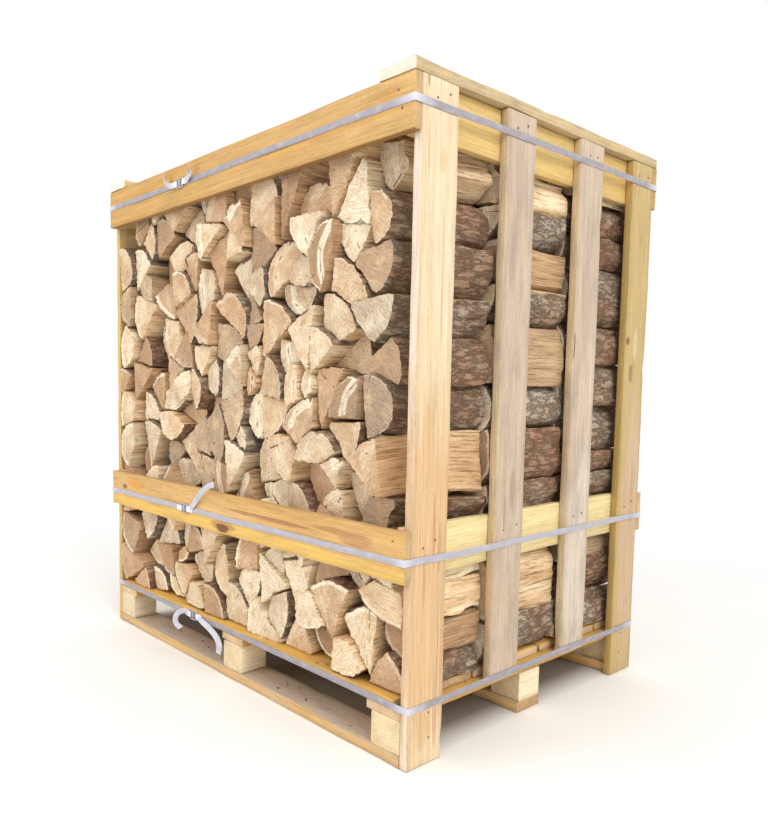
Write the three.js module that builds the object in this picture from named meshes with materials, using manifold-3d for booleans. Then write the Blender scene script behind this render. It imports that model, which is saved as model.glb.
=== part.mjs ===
// Strapped timber crate on a block pallet, filled with three rows of stacked split firewood logs.
// Millimetres, +Z up. The origin is on the ground under the middle of the crate. The log ends face
// -Y and +Y, and the slatted ends of the crate face -X and +X.
import * as THREE from "three";
import { mergeVertices } from "three/addons/utils/BufferGeometryUtils.js";
import Module from "manifold-3d";

const wasm = await Module();
wasm.setup();

// Overall size.
const CRATE_LENGTH = 1380; // X, over the corner posts
const PALLET_DEPTH = 1000; // Y, over the pallet and the posts
const CRATE_HEIGHT = 1506;

// Sawn boards of the crate.
const BOARD_T = 22;
const POST_WIDTH = 118;
const SLAT_WIDTH = 115;
const CAP_WIDTH = 105;
const CAP_T = 26;
const BAND_WIDTH = 118;
const MID_BAND_WIDTH = 115;
const MID_BAND_Z = 420;
const MID_RAIL_Z = 424;
const SLAT_BASE_Z = 124;
const SLAT_CENTRES_Y = [-149.5, 164.5];

// Block pallet, from the ground up: runners, blocks, stringers, deck boards.
const RUNNER_T = 28;
const RUNNER_WIDTH = 100;
const BLOCK_X = 90;
const BLOCK_Y = 90;
const BLOCK_HEIGHT = 78;
const STRINGER_WIDTH = 105;
const MID_STRINGER_X = 18; // the middle stringer is nailed a little off centre
const DECK_BOARDS = 7;
const DECK_BOARD_WIDTH = 135;
const DECK_END_INSET = 22;

// Composite strapping, its wire buckles, and the loose strap ends beside them.
const STRAP_WIDTH = 16;
const STRAP_T = 1;
const STRAP_CORNER_R = 1;
const STRAP_Z = { top: 1426, middle: 467, bottom: 138 };
const BUCKLE_X = { top: -226, middle: -200, bottom: -184 };
const BUCKLE_LENGTH = 40;
const BUCKLE_HEIGHT = 30;
const WIRE_D = 3.6;
const WIRE_SIDES = 10;
const TAIL_STEPS = 18;

// Rows of logs, front to back: each solid reaches the log ends, sides and tops.
const LOG_ROWS = { front: [-494, -206], middle: [-196, 106], back: [116, 434] };
const LOG_ROW_HALF_LENGTH = 645;
const LOG_TOP_Z = 1462;

// Every board is held GAP short of its neighbours, half on each side.
const GAP = 0.3;

const PALLET_LENGTH = CRATE_LENGTH - 2 * BOARD_T;
const BAND_FACE_Y = PALLET_DEPTH / 2 + BOARD_T;
const CAP_Z = CRATE_HEIGHT - CAP_T;
const GROUND = -GAP / 2;
const BLOCK_Z = RUNNER_T;
const STRINGER_Z = BLOCK_Z + BLOCK_HEIGHT;
const DECK_Z = STRINGER_Z + BOARD_T;
const LOG_BASE_Z = DECK_Z + BOARD_T;

function finish(color, roughness, metalness = 0) {
  return new THREE.MeshStandardMaterial({ color, roughness, metalness });
}

function mesh(name, geometry, material) {
  const made = new THREE.Mesh(geometry, material);
  made.name = name;
  return made;
}

// A board between two planes on each axis, GAP / 2 short on every side.
function board(name, [x0, x1], [y0, y1], [z0, z1], material) {
  const geometry = new THREE.BoxGeometry(x1 - x0 - GAP, y1 - y0 - GAP, z1 - z0 - GAP);
  const made = mesh(name, geometry, material);
  made.position.set((x0 + x1) / 2, (y0 + y1) / 2, (z0 + z1) / 2);
  return made;
}

function about(centre, width) {
  return [centre - width / 2, centre + width / 2];
}

// Runners, blocks and stringers at the front, middle and back, with the deck boards across them.
function pallet() {
  const group = new THREE.Group();
  const pine = finish(0xe2c079, 0.75);
  const block = finish(0xecd69e, 0.8);
  const half = PALLET_LENGTH / 2;
  const rows = { front: -PALLET_DEPTH / 2, middle: -RUNNER_WIDTH / 2, back: PALLET_DEPTH / 2 - RUNNER_WIDTH };
  const blockRows = { front: -PALLET_DEPTH / 2, middle: -BLOCK_Y / 2, back: PALLET_DEPTH / 2 - BLOCK_Y };
  const columns = { left: -half + STRINGER_WIDTH / 2, middle: MID_STRINGER_X, right: half - STRINGER_WIDTH / 2 };
  const blockColumns = { left: -half + BLOCK_X / 2, middle: MID_STRINGER_X, right: half - BLOCK_X / 2 };
  for (const [row, y] of Object.entries(rows)) {
    group.add(board(`runner_${row}`, [-half, half], [y, y + RUNNER_WIDTH], [GROUND, RUNNER_T], pine));
    for (const [column, x] of Object.entries(blockColumns)) {
      const depth = [blockRows[row], blockRows[row] + BLOCK_Y];
      group.add(board(`block_${row}_${column}`, about(x, BLOCK_X), depth, [BLOCK_Z, STRINGER_Z], block));
    }
  }
  const depth = [-PALLET_DEPTH / 2, PALLET_DEPTH / 2];
  for (const [column, x] of Object.entries(columns)) {
    group.add(board(`stringer_${column}`, about(x, STRINGER_WIDTH), depth, [STRINGER_Z, DECK_Z], pine));
  }
  const pitch = (PALLET_DEPTH - DECK_BOARD_WIDTH) / (DECK_BOARDS - 1);
  const length = [-half + DECK_END_INSET, half - DECK_END_INSET];
  for (let i = 0; i < DECK_BOARDS; i++) {
    const y = -PALLET_DEPTH / 2 + i * pitch;
    const width = [y, y + DECK_BOARD_WIDTH];
    group.add(board(`deck_board_${i + 1}`, length, width, [DECK_Z, LOG_BASE_Z], pine));
  }
  return group;
}

// One slatted end: two posts that stand on the ground, two slats, two rails behind them and a cap
// board that lies on top. side is -1 for the left end and 1 for the right.
function crateEnd(label, side) {
  const group = new THREE.Group();
  const pale = finish(0xe6cf9f, 0.7);
  const slat = finish(0xd3bfa6, 0.75);
  const yellow = finish(0xeed795, 0.7);
  const outer = (side * CRATE_LENGTH) / 2;
  const skin = [outer, outer - side * BOARD_T].sort((a, b) => a - b);
  const inner = [outer - side * BOARD_T, outer - 2 * side * BOARD_T].sort((a, b) => a - b);
  const edge = PALLET_DEPTH / 2;
  group.add(board(`post_${label}_front`, skin, [-edge, -edge + POST_WIDTH], [GROUND, CAP_Z], pale));
  group.add(board(`post_${label}_back`, skin, [edge - POST_WIDTH, edge], [GROUND, CAP_Z], pale));
  SLAT_CENTRES_Y.forEach((y, i) => {
    group.add(board(`slat_${label}_${i + 1}`, skin, about(y, SLAT_WIDTH), [SLAT_BASE_Z, CAP_Z], slat));
  });
  const railTop = [CAP_Z - BAND_WIDTH, CAP_Z];
  const railMiddle = [MID_RAIL_Z, MID_RAIL_Z + MID_BAND_WIDTH];
  group.add(board(`rail_top_${label}`, inner, [-edge, edge], railTop, yellow));
  group.add(board(`rail_middle_${label}`, inner, [-edge, edge], railMiddle, yellow));
  const cap = [outer, outer - side * CAP_WIDTH].sort((a, b) => a - b);
  group.add(board(`cap_${label}`, cap, [-BAND_FACE_Y, BAND_FACE_Y], [CAP_Z, CRATE_HEIGHT], pale));
  return group;
}

// The boards across the open front or back, nailed on the edges of the posts.
function bands(label, side) {
  const group = new THREE.Group();
  const amber = finish(0xdba74e, 0.65);
  const length = [-CRATE_LENGTH / 2, CRATE_LENGTH / 2];
  const depth = [(side * PALLET_DEPTH) / 2, side * BAND_FACE_Y].sort((a, b) => a - b);
  group.add(board(`band_top_${label}`, length, depth, [CAP_Z - BAND_WIDTH, CAP_Z], amber));
  const middle = [MID_BAND_Z, MID_BAND_Z + MID_BAND_WIDTH];
  group.add(board(`band_middle_${label}`, length, depth, middle, amber));
  return group;
}

// A rectangle with rounded corners, as a Shape or, for a hole, as a Path.
function roundedRectangle(halfX, halfY, radius, outline) {
  const corners = [[1, 1], [-1, 1], [-1, -1], [1, -1]];
  corners.forEach(([sx, sy], i) => {
    const start = (i * Math.PI) / 2;
    outline.absarc(sx * (halfX - radius), sy * (halfY - radius), radius, start, start + Math.PI / 2, false);
  });
  return outline;
}

// A tight closed loop of strap round the crate.
function strapLoop(name, z, halfX, halfY) {
  const x = halfX + GAP;
  const y = halfY + GAP;
  const outline = roundedRectangle(x + STRAP_T, y + STRAP_T, STRAP_CORNER_R + STRAP_T, new THREE.Shape());
  outline.holes.push(roundedRectangle(x, y, STRAP_CORNER_R, new THREE.Path()));
  const options = { depth: STRAP_WIDTH, bevelEnabled: false, curveSegments: 3 };
  const made = mesh(name, new THREE.ExtrudeGeometry(outline, options), finish(0xc9c5d2, 0.45));
  made.position.z = z - STRAP_WIDTH / 2;
  return made;
}

// The closed solid of a geometry, ready to be joined.
function solidOf(geometry) {
  const bare = geometry.clone();
  bare.deleteAttribute("normal");
  bare.deleteAttribute("uv");
  const merged = mergeVertices(bare, 1e-3);
  return new wasm.Manifold(
    new wasm.Mesh({
      numProp: 3,
      vertProperties: merged.attributes.position.array,
      triVerts: new Uint32Array(merged.index.array),
    }),
  );
}

function geometryOf(solid) {
  const result = solid.getMesh();
  const geometry = new THREE.BufferGeometry();
  geometry.setAttribute("position", new THREE.BufferAttribute(result.vertProperties, 3));
  geometry.setIndex(new THREE.BufferAttribute(result.triVerts, 1));
  return geometry;
}

// A buckle bent from one wire: two rails along the strap and three bars across it.
function buckle(name, x, faceY, z) {
  const railLength = BUCKLE_LENGTH - WIRE_D;
  const barLength = BUCKLE_HEIGHT - WIRE_D;
  const rail = new THREE.CapsuleGeometry(WIRE_D / 2, railLength, 3, WIRE_SIDES).rotateZ(Math.PI / 2);
  const bar = new THREE.CylinderGeometry(WIRE_D / 2, WIRE_D / 2, barLength, WIRE_SIDES).rotateX(Math.PI / 2);
  let frame = null;
  for (const side of [-1, 1]) {
    const solid = solidOf(rail.clone().translate(0, 0, (side * barLength) / 2));
    frame = frame ? frame.add(solid) : solid;
  }
  for (const step of [-1, 0, 1]) {
    frame = frame.add(solidOf(bar.clone().translate((step * railLength) / 2, 0, 0)));
  }
  const made = mesh(name, geometryOf(frame), finish(0xb9bcc0, 0.35, 0.9));
  made.position.set(x, faceY - STRAP_T - 2 * GAP - WIRE_D / 2, z);
  return made;
}

// A loose strap end: a ribbon along a smooth curve through points. Each point carries the direction
// of the ribbon's width there, and the ribbon turns smoothly from one to the next.
function strapTail(name, points) {
  const line = new THREE.CatmullRomCurve3(points.map(([p]) => new THREE.Vector3(...p)));
  const turn = new THREE.CatmullRomCurve3(points.map(([, w]) => new THREE.Vector3(...w)));
  const positions = [];
  const index = [];
  for (let i = 0; i <= TAIL_STEPS; i++) {
    const t = i / TAIL_STEPS;
    const centre = line.getPoint(t);
    const along = line.getTangent(t);
    const across = turn.getPoint(t).addScaledVector(along, -turn.getPoint(t).dot(along)).normalize();
    const out = new THREE.Vector3().crossVectors(along, across);
    for (const [u, v] of [[-1, -1], [1, -1], [1, 1], [-1, 1]]) {
      const corner = centre.clone();
      corner.addScaledVector(across, (u * STRAP_WIDTH) / 2).addScaledVector(out, (v * STRAP_T) / 2);
      positions.push(corner.x, corner.y, corner.z);
    }
    if (i === 0) continue;
    const base = 4 * (i - 1);
    for (let k = 0; k < 4; k++) {
      const a = base + k;
      const b = base + ((k + 1) % 4);
      index.push(a, b, b + 4, a, b + 4, a + 4);
    }
  }
  const last = 4 * TAIL_STEPS;
  index.push(0, 2, 1, 0, 3, 2, last, last + 1, last + 2, last, last + 2, last + 3);
  const geometry = new THREE.BufferGeometry();
  geometry.setAttribute("position", new THREE.Float32BufferAttribute(positions, 3));
  geometry.setIndex(index);
  return mesh(name, geometry, finish(0xd5d3dc, 0.45));
}

// Three strap loops, each with a buckle near the left of the front and its loose ends.
function strapping() {
  const group = new THREE.Group();
  const halfLength = CRATE_LENGTH / 2;
  const faces = { top: BAND_FACE_Y, middle: BAND_FACE_Y, bottom: PALLET_DEPTH / 2 };
  for (const [level, halfDepth] of Object.entries(faces)) {
    group.add(strapLoop(`strap_${level}`, STRAP_Z[level], halfLength, halfDepth));
    group.add(buckle(`buckle_${level}`, BUCKLE_X[level], -halfDepth, STRAP_Z[level]));
  }
  group.add(strapTail("strap_tail_top_left", [
    [[-250, -526, 1424], [0, 0, 1]],
    [[-270, -530, 1425], [0.1, -0.1, 1]],
    [[-284, -537, 1433], [0.6, -0.4, 0.6]],
    [[-289, -543, 1447], [0.85, -0.5, 0.1]],
    [[-291, -546, 1462], [0.85, -0.5, 0]],
  ]));
  group.add(strapTail("strap_tail_top_right", [
    [[-202, -526, 1427], [0, 0, 1]],
    [[-172, -531, 1430], [0.1, -0.2, 1]],
    [[-152, -538, 1441], [0.6, -0.5, 0.5]],
    [[-144, -542, 1454], [0.85, -0.5, 0.1]],
    [[-145, -544, 1468], [0.85, -0.5, 0]],
  ]));
  group.add(strapTail("strap_tail_middle", [
    [[-176, -526, 468], [0, 0, 1]],
    [[-146, -529, 483], [-0.3, -0.2, 0.9]],
    [[-104, -537, 514], [-0.55, -0.45, 0.65]],
    [[-64, -545, 538], [-0.5, -0.35, 0.75]],
    [[-26, -550, 556], [-0.35, -0.1, 0.9]],
    [[3, -552, 564], [-0.25, 0.05, 0.95]],
  ]));
  group.add(strapTail("strap_tail_bottom_left", [
    [[-208, -504, 139], [0, 0, 1]],
    [[-222, -511, 145], [0, -0.15, 1]],
    [[-234, -526, 138], [-0.45, -0.4, 0.8]],
    [[-229, -540, 125], [-0.5, -0.65, 0.25]],
    [[-207, -549, 115], [-0.3, -0.6, -0.15]],
    [[-177, -552, 110], [-0.2, -0.55, -0.25]],
  ]));
  group.add(strapTail("strap_tail_bottom_right", [
    [[-160, -504, 137], [0, 0, 1]],
    [[-119, -510, 133], [0.1, 0.5, 0.85]],
    [[-79, -516, 129], [0.2, 0.7, 0.7]],
    [[-46, -522, 124], [0.25, 0.75, 0.6]],
    [[-19, -527, 116], [0.34, 0.84, 0.41]],
    [[0, -531, 101], [0.47, 0.87, 0.11]],
    [[-3, -532, 76], [0.85, 0.3, 0.1]],
  ]));
  return group;
}

// The stacked logs: one solid for each row across the crate.
function logRows() {
  const group = new THREE.Group();
  const split = finish(0xcaa87e, 0.85);
  const length = [-LOG_ROW_HALF_LENGTH, LOG_ROW_HALF_LENGTH];
  for (const [row, depth] of Object.entries(LOG_ROWS)) {
    group.add(board(`log_row_${row}`, length, depth, [LOG_BASE_Z, LOG_TOP_Z], split));
  }
  return group;
}

const crate = new THREE.Group();
crate.add(pallet());
crate.add(crateEnd("left", -1));
crate.add(crateEnd("right", 1));
crate.add(bands("front", -1));
crate.add(bands("back", 1));
crate.add(strapping());
crate.add(logRows());

export default crate;
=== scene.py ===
import math

import bpy
import numpy as np
from mathutils import Matrix, Vector


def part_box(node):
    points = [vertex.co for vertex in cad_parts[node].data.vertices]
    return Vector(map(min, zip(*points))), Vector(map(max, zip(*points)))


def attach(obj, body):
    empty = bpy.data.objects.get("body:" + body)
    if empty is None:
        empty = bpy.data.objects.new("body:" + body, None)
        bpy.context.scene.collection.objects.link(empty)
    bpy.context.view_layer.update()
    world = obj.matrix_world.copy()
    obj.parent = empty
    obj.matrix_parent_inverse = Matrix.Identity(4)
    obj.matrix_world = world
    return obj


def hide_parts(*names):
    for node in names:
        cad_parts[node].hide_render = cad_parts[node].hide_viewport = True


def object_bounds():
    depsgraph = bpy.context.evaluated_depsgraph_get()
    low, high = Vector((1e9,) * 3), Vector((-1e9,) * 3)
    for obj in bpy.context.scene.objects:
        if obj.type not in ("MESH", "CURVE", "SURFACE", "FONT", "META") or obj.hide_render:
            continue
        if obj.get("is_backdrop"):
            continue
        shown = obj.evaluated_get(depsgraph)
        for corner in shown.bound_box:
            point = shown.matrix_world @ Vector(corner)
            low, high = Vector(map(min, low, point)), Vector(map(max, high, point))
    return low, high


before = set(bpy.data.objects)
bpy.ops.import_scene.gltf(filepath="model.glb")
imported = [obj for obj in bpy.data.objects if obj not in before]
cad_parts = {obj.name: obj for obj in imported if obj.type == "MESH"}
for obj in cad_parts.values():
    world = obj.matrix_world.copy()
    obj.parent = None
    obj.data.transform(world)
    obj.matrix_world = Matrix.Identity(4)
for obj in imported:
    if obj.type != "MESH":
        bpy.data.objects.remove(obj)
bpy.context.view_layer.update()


# Camera. It stands off the front right corner at chest height and looks slightly down, through a
# moderately wide lens whose picture sits a little off centre, so that the whole crate is in view.
CAMERA_AT = (1.7479, -1.6830, 0.8463)
CAMERA_TURN_DEG = 49.409
CAMERA_DIP_DEG = 4.803
CAMERA_ROLL_DEG = 0.795
LENS_MM = 32.13
SENSOR_MM = 36.0

camera_data = bpy.data.cameras.new("camera")
camera_data.lens = LENS_MM
camera_data.sensor_width = SENSOR_MM
camera_data.shift_x = 0.0831
camera_data.shift_y = 0.0317
camera_data.clip_start = 0.05
camera_data.clip_end = 200.0
camera = bpy.data.objects.new("camera", camera_data)
camera.matrix_world = (
    Matrix.Translation(CAMERA_AT)
    @ Matrix.Rotation(math.radians(CAMERA_TURN_DEG), 4, "Z")
    @ Matrix.Rotation(math.radians(90 - CAMERA_DIP_DEG), 4, "X")
    @ Matrix.Rotation(math.radians(CAMERA_ROLL_DEG), 4, "Z")
)
bpy.context.scene.collection.objects.link(camera)
bpy.context.scene.camera = camera
bpy.context.scene.view_settings.view_transform = "Standard"


# Floor and light. A pale matt studio floor runs out into the same white as the background. A large
# softbox stands high on the right, a weaker one in front on the left, and white surrounds fill in.
FLOOR_RADIUS = 30.0
FLOOR_SIDES = 64
FLOOR_DROP = 0.001
# How far the painted shadow under the pallet reaches from the middle, along and across.
SHADED_HALF_LONG = 0.69
SHADED_HALF_DEEP = 0.50
FLOOR_FADE_START = 1.0
FLOOR_FADE_END = 2.8
SURROUND_LIGHT = 1.0


def linear(code):
    """An sRGB hex colour as linear red, green, blue and alpha."""
    channels = [int(code[i:i + 2], 16) / 255 for i in (1, 3, 5)]
    return (*[c / 12.92 if c <= 0.04045 else ((c + 0.055) / 1.055) ** 2.4 for c in channels], 1.0)


def node(tree, kind, inputs=(), stops=(), out=0, **settings):
    """Adds a shader node, sets or links its inputs, and gives its first or named output, or them all."""
    made = tree.nodes.new("ShaderNode" + kind)
    for key, value in settings.items():
        setattr(made, key, value)
    for k, (place, code) in enumerate(stops):
        ramp = made.color_ramp.elements
        stop = ramp[k] if k < 2 else ramp.new(place)
        stop.position = place
        stop.color = linear(code)
    for socket, value in dict(inputs).items():
        if isinstance(value, bpy.types.NodeSocket):
            tree.links.new(value, made.inputs[socket])
        else:
            made.inputs[socket].default_value = value
    return made.outputs if out is None or not made.outputs else made.outputs[out]


def new_material(name):
    """An empty material and its node tree."""
    material = bpy.data.materials.new(name)
    material.use_nodes = True
    material.node_tree.nodes.clear()
    return material, material.node_tree


def solid(name, points, faces, marks=None, materials=(), kinds=None, sharp_deg=40):
    """A mesh piece from points and faces, with named values at its points for its materials."""
    mesh = bpy.data.meshes.new(name)
    mesh.from_pydata(np.asarray(points, float).tolist(), [], faces)
    for key, values in (marks or {}).items():
        values = np.asarray(values, np.float32)
        layer = mesh.attributes.new(key, "FLOAT_VECTOR" if values.ndim == 2 else "FLOAT", "POINT")
        layer.data.foreach_set("vector" if values.ndim == 2 else "value", values.ravel())
    for material in materials:
        mesh.materials.append(material)
    if kinds is not None:
        mesh.polygons.foreach_set("material_index", np.asarray(kinds, np.int32))
    mesh.shade_smooth()
    mesh.set_sharp_from_angle(angle=math.radians(sharp_deg))
    mesh.update()
    made = bpy.data.objects.new(name, mesh)
    bpy.context.scene.collection.objects.link(made)
    return made


world = bpy.data.worlds.new("white_surround")
bpy.context.scene.world = world
world.use_nodes = True
world.node_tree.nodes["Background"].inputs["Color"].default_value = (1.0, 1.0, 1.0, 1.0)
world.node_tree.nodes["Background"].inputs["Strength"].default_value = SURROUND_LIGHT

floor_material, tree = new_material("matt_studio_floor")
at = node(tree, "TexCoord", out="Object")
away = node(tree, "VectorMath", {0: at}, operation="LENGTH", out="Value")
fade = node(tree, "MapRange", {"Value": away, "From Min": FLOOR_FADE_START, "From Max": FLOOR_FADE_END},
            interpolation_type="SMOOTHSTEP")
speck = node(tree, "TexNoise", {"Vector": at, "Scale": 3.0, "Detail": 3.0})
pale = node(tree, "MixRGB", {"Fac": speck, "Color1": linear("#eceae6"), "Color2": linear("#f4f2ee")})
# The ground is darkened to grey-brown where the pallet stands: a painted shadow under it.
under = node(tree, "VectorMath", {0: at, 1: (1 / SHADED_HALF_LONG, 1 / SHADED_HALF_DEEP, 0.0)},
             operation="MULTIPLY")
under = node(tree, "SeparateXYZ", {0: node(tree, "VectorMath", {0: under}, operation="ABSOLUTE")}, out=None)
under = node(tree, "Math", {0: under[0], 1: under[1]}, operation="MAXIMUM")
under = node(tree, "MapRange", {"Value": under, "From Min": 0.98, "From Max": 0.85, "To Max": 0.8})
pale = node(tree, "MixRGB", {"Fac": under, "Color1": pale, "Color2": linear("#6f655c")})
near = node(tree, "BsdfPrincipled", {"Base Color": pale, "Roughness": 0.9,
                                     "Specular IOR Level": 0.1})
far = node(tree, "Emission", {"Color": (1.0, 1.0, 1.0, 1.0), "Strength": SURROUND_LIGHT})
mixed = node(tree, "MixShader", {0: fade, 1: near, 2: far})
node(tree, "OutputMaterial", {"Surface": mixed})
turns = np.linspace(0, 2 * np.pi, FLOOR_SIDES, endpoint=False)
rings = [0.0, 1.0, 2.0, 4.0, 8.0, FLOOR_RADIUS]
floor_points = [(0.0, 0.0, -FLOOR_DROP)]
floor_points += [(r * math.cos(t), r * math.sin(t), -FLOOR_DROP) for r in rings[1:] for t in turns]
following = [(i + 1) % FLOOR_SIDES for i in range(FLOOR_SIDES)]
floor_faces = [(0, 1 + i, 1 + k) for i, k in enumerate(following)]
for ring in range(len(rings) - 2):
    a, b = 1 + ring * FLOOR_SIDES, 1 + (ring + 1) * FLOOR_SIDES
    floor_faces += [(a + i, b + i, b + k, a + k) for i, k in enumerate(following)]
floor = solid("studio_floor", floor_points, floor_faces, materials=[floor_material])
floor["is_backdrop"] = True

for light_name, light_at, light_size, watts in (
    ("softbox_right", (4.2, -1.6, 4.2), 3.0, 150.0),
    ("softbox_front", (-2.2, -4.6, 3.2), 3.0, 90.0),
):
    light_data = bpy.data.lights.new(light_name, "AREA")
    light_data.size = light_size
    light_data.energy = watts
    light = bpy.data.objects.new(light_name, light_data)
    light.location = light_at
    light.rotation_mode = "QUATERNION"
    light.rotation_quaternion = (Vector((0, 0, 0.7)) - Vector(light_at)).to_track_quat("-Z", "Y")
    bpy.context.scene.collection.objects.link(light)


# Pallet runners. Three sawn softwood boards, 28 mm thick, lie on the ground along the pallet. Their
# tops carry trodden-in dirt and bark dust; their sawn edges stay yellow.
def wander(rng, at, wave, most):
    """How far a smooth random line strays at each place along it, in waves of about the given size."""
    total = 0.0
    for k in (1.0, 1.7, 2.9, 4.3):
        total = total + rng.normal() / k * np.sin(at * k * 2 * np.pi / wave + rng.uniform(0, 2 * np.pi))
    return most * total / 1.5


def sawn_timber(name, pale, deep, late, dirt, dirt_share, ring_mm=5.0, ring_share=0.35, knot_share=0.5,
                top_dirt=0.0, end_grain=False, narrow=None, stains=()):
    """Rough-sawn softwood: growth rings cut through by the saw, fine fibre along the board, knots and dirt.

    Its rings are circles about the trunk's middle, so faces show stripes and arches, and ends show arcs.
    Each stain is a place on the board, its reach along and across in metres, a colour and a strength.
    """
    material, tree = new_material(name)
    at = node(tree, "Attribute", attribute_name="grain", out="Vector")
    tone = node(tree, "SeparateXYZ", {0: node(tree, "Attribute", attribute_name="tone", out="Vector")},
                out=None)
    edge = node(tree, "Attribute", attribute_name="edge", out="Fac")
    # Slow change of tone, in patches about 0.6 m long and 80 mm wide.
    stretched = node(tree, "VectorMath", {0: at, 1: (1.7, 12.0, 12.0)}, operation="MULTIPLY")
    patch = node(tree, "TexNoise", {"Vector": stretched, "Scale": 1.0, "Detail": 3.0})
    # Knots 12 to 24 mm across, a few to the metre, with the grain running round them.
    flat = node(tree, "VectorMath", {0: at, 1: (4.2, 4.2, 0.6)}, operation="MULTIPLY")
    cells = node(tree, "TexVoronoi", {"Vector": flat, "Scale": 1.0}, voronoi_dimensions="3D", out=None)
    chosen = node(tree, "SeparateColor", {0: cells["Color"]})
    has_knot = node(tree, "Math", {0: chosen, 1: knot_share}, operation="LESS_THAN")
    near_knot = node(tree, "MapRange", {"Value": cells["Distance"], "From Min": 0.26, "From Max": 0.0},
                     interpolation_type="SMOOTHSTEP")
    pull = node(tree, "Math", {0: near_knot, 1: has_knot}, operation="MULTIPLY")
    in_knot = node(tree, "MapRange", {"Value": cells["Distance"], "From Min": 0.062, "From Max": 0.036},
                   interpolation_type="SMOOTHSTEP")
    knot = node(tree, "Math", {0: in_knot, 1: has_knot}, operation="MULTIPLY")
    # Growth rings about the trunk's middle, bent a few millimetres by slow noise, some darker than others.
    across = node(tree, "VectorMath", {0: at, 1: (0.0, 1.0, 1.0)}, operation="MULTIPLY")
    out = node(tree, "VectorMath", {0: across}, operation="LENGTH", out="Value")
    bends = node(tree, "VectorMath", {0: at, 1: (2.4, 10.0, 10.0)}, operation="MULTIPLY")
    bend = node(tree, "TexNoise", {"Vector": bends, "Scale": 1.0, "Detail": 2.0})
    bent = node(tree, "Math", {0: bend, 1: 0.030, 2: out}, operation="MULTIPLY_ADD")
    bent = node(tree, "Math", {0: pull, 1: 0.022, 2: bent}, operation="MULTIPLY_ADD")
    count = node(tree, "Math", {0: bent, 1: ring_mm / 1000}, operation="DIVIDE")
    phase = node(tree, "Math", {0: count}, operation="FRACT")
    late_band = node(tree, "ValToRGB", {0: phase},
                     stops=((0.0, "#898989"), (1.0, "#959595"), (0.55, "#595959"), (0.86, "#ffffff")))
    slower = node(tree, "Math", {0: count, 1: 0.37}, operation="MULTIPLY")
    year = node(tree, "TexNoise", {"W": slower, "Scale": 1.0, "Detail": 1.0}, noise_dimensions="1D")
    year = node(tree, "MapRange", {"Value": year, "From Min": 0.35, "From Max": 0.65, "To Min": 0.25,
                                   "To Max": 1.3})
    # Fibre: thin streaks along the board, drawn about 3 mm wide so that they show, and broader ones
    # 12 mm wide.
    fine_way = (300.0, 300.0, 300.0) if end_grain else (7.0, 330.0, 330.0)
    fine = node(tree, "VectorMath", {0: at, 1: fine_way}, operation="MULTIPLY")
    fibre = node(tree, "TexNoise", {"Vector": fine, "Scale": 1.0, "Detail": 3.0, "Roughness": 0.6})
    broad = node(tree, "VectorMath", {0: at, 1: (3.1, 85.0, 85.0)}, operation="MULTIPLY")
    streak = node(tree, "TexNoise", {"Vector": broad, "Scale": 1.0, "Detail": 4.0, "Roughness": 0.6})
    # Saw marks every 7 mm or so across the board, felt more than seen.
    saw_at = node(tree, "VectorMath", {0: at, 1: (140.0, 5.0, 5.0)}, operation="MULTIPLY")
    saw = node(tree, "TexNoise", {"Vector": saw_at, "Scale": 1.0, "Detail": 1.0})
    # Dirt and weathering in uneven smudges, and on the upward face if trodden.
    smudge_at = node(tree, "VectorMath", {0: at, 1: (7.0, 22.0, 22.0)}, operation="MULTIPLY")
    smudge = node(tree, "TexNoise", {"Vector": smudge_at, "Scale": 1.0, "Detail": 5.0,
                                     "Roughness": 0.65})
    smudged = node(tree, "MapRange", {"Value": smudge, "From Min": 0.44, "From Max": 0.72,
                                      "To Max": dirt_share})
    grey = node(tree, "Math", {0: tone[2], 1: dirt_share * 0.6, 2: smudged},
                operation="MULTIPLY_ADD", use_clamp=True)
    shift = node(tree, "Math", {0: tone[1], 1: 0.3, 2: patch}, operation="MULTIPLY_ADD")
    warm = node(tree, "MapRange", {"Value": shift, "From Min": 0.25, "From Max": 0.8})
    body = node(tree, "MixRGB", {"Fac": warm, "Color1": linear(pale), "Color2": linear(deep)})
    if narrow:
        side = node(tree, "Attribute", attribute_name="narrow", out="Fac")
        body = node(tree, "MixRGB", {"Fac": side, "Color1": body, "Color2": linear(narrow)})
    late_fac = node(tree, "Math", {0: late_band, 1: ring_share}, operation="MULTIPLY")
    late_fac = node(tree, "Math", {0: late_fac, 1: year}, operation="MULTIPLY", use_clamp=True)
    stained = node(tree, "MixRGB", {"Fac": late_fac, "Color1": body, "Color2": linear(late)})
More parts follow.
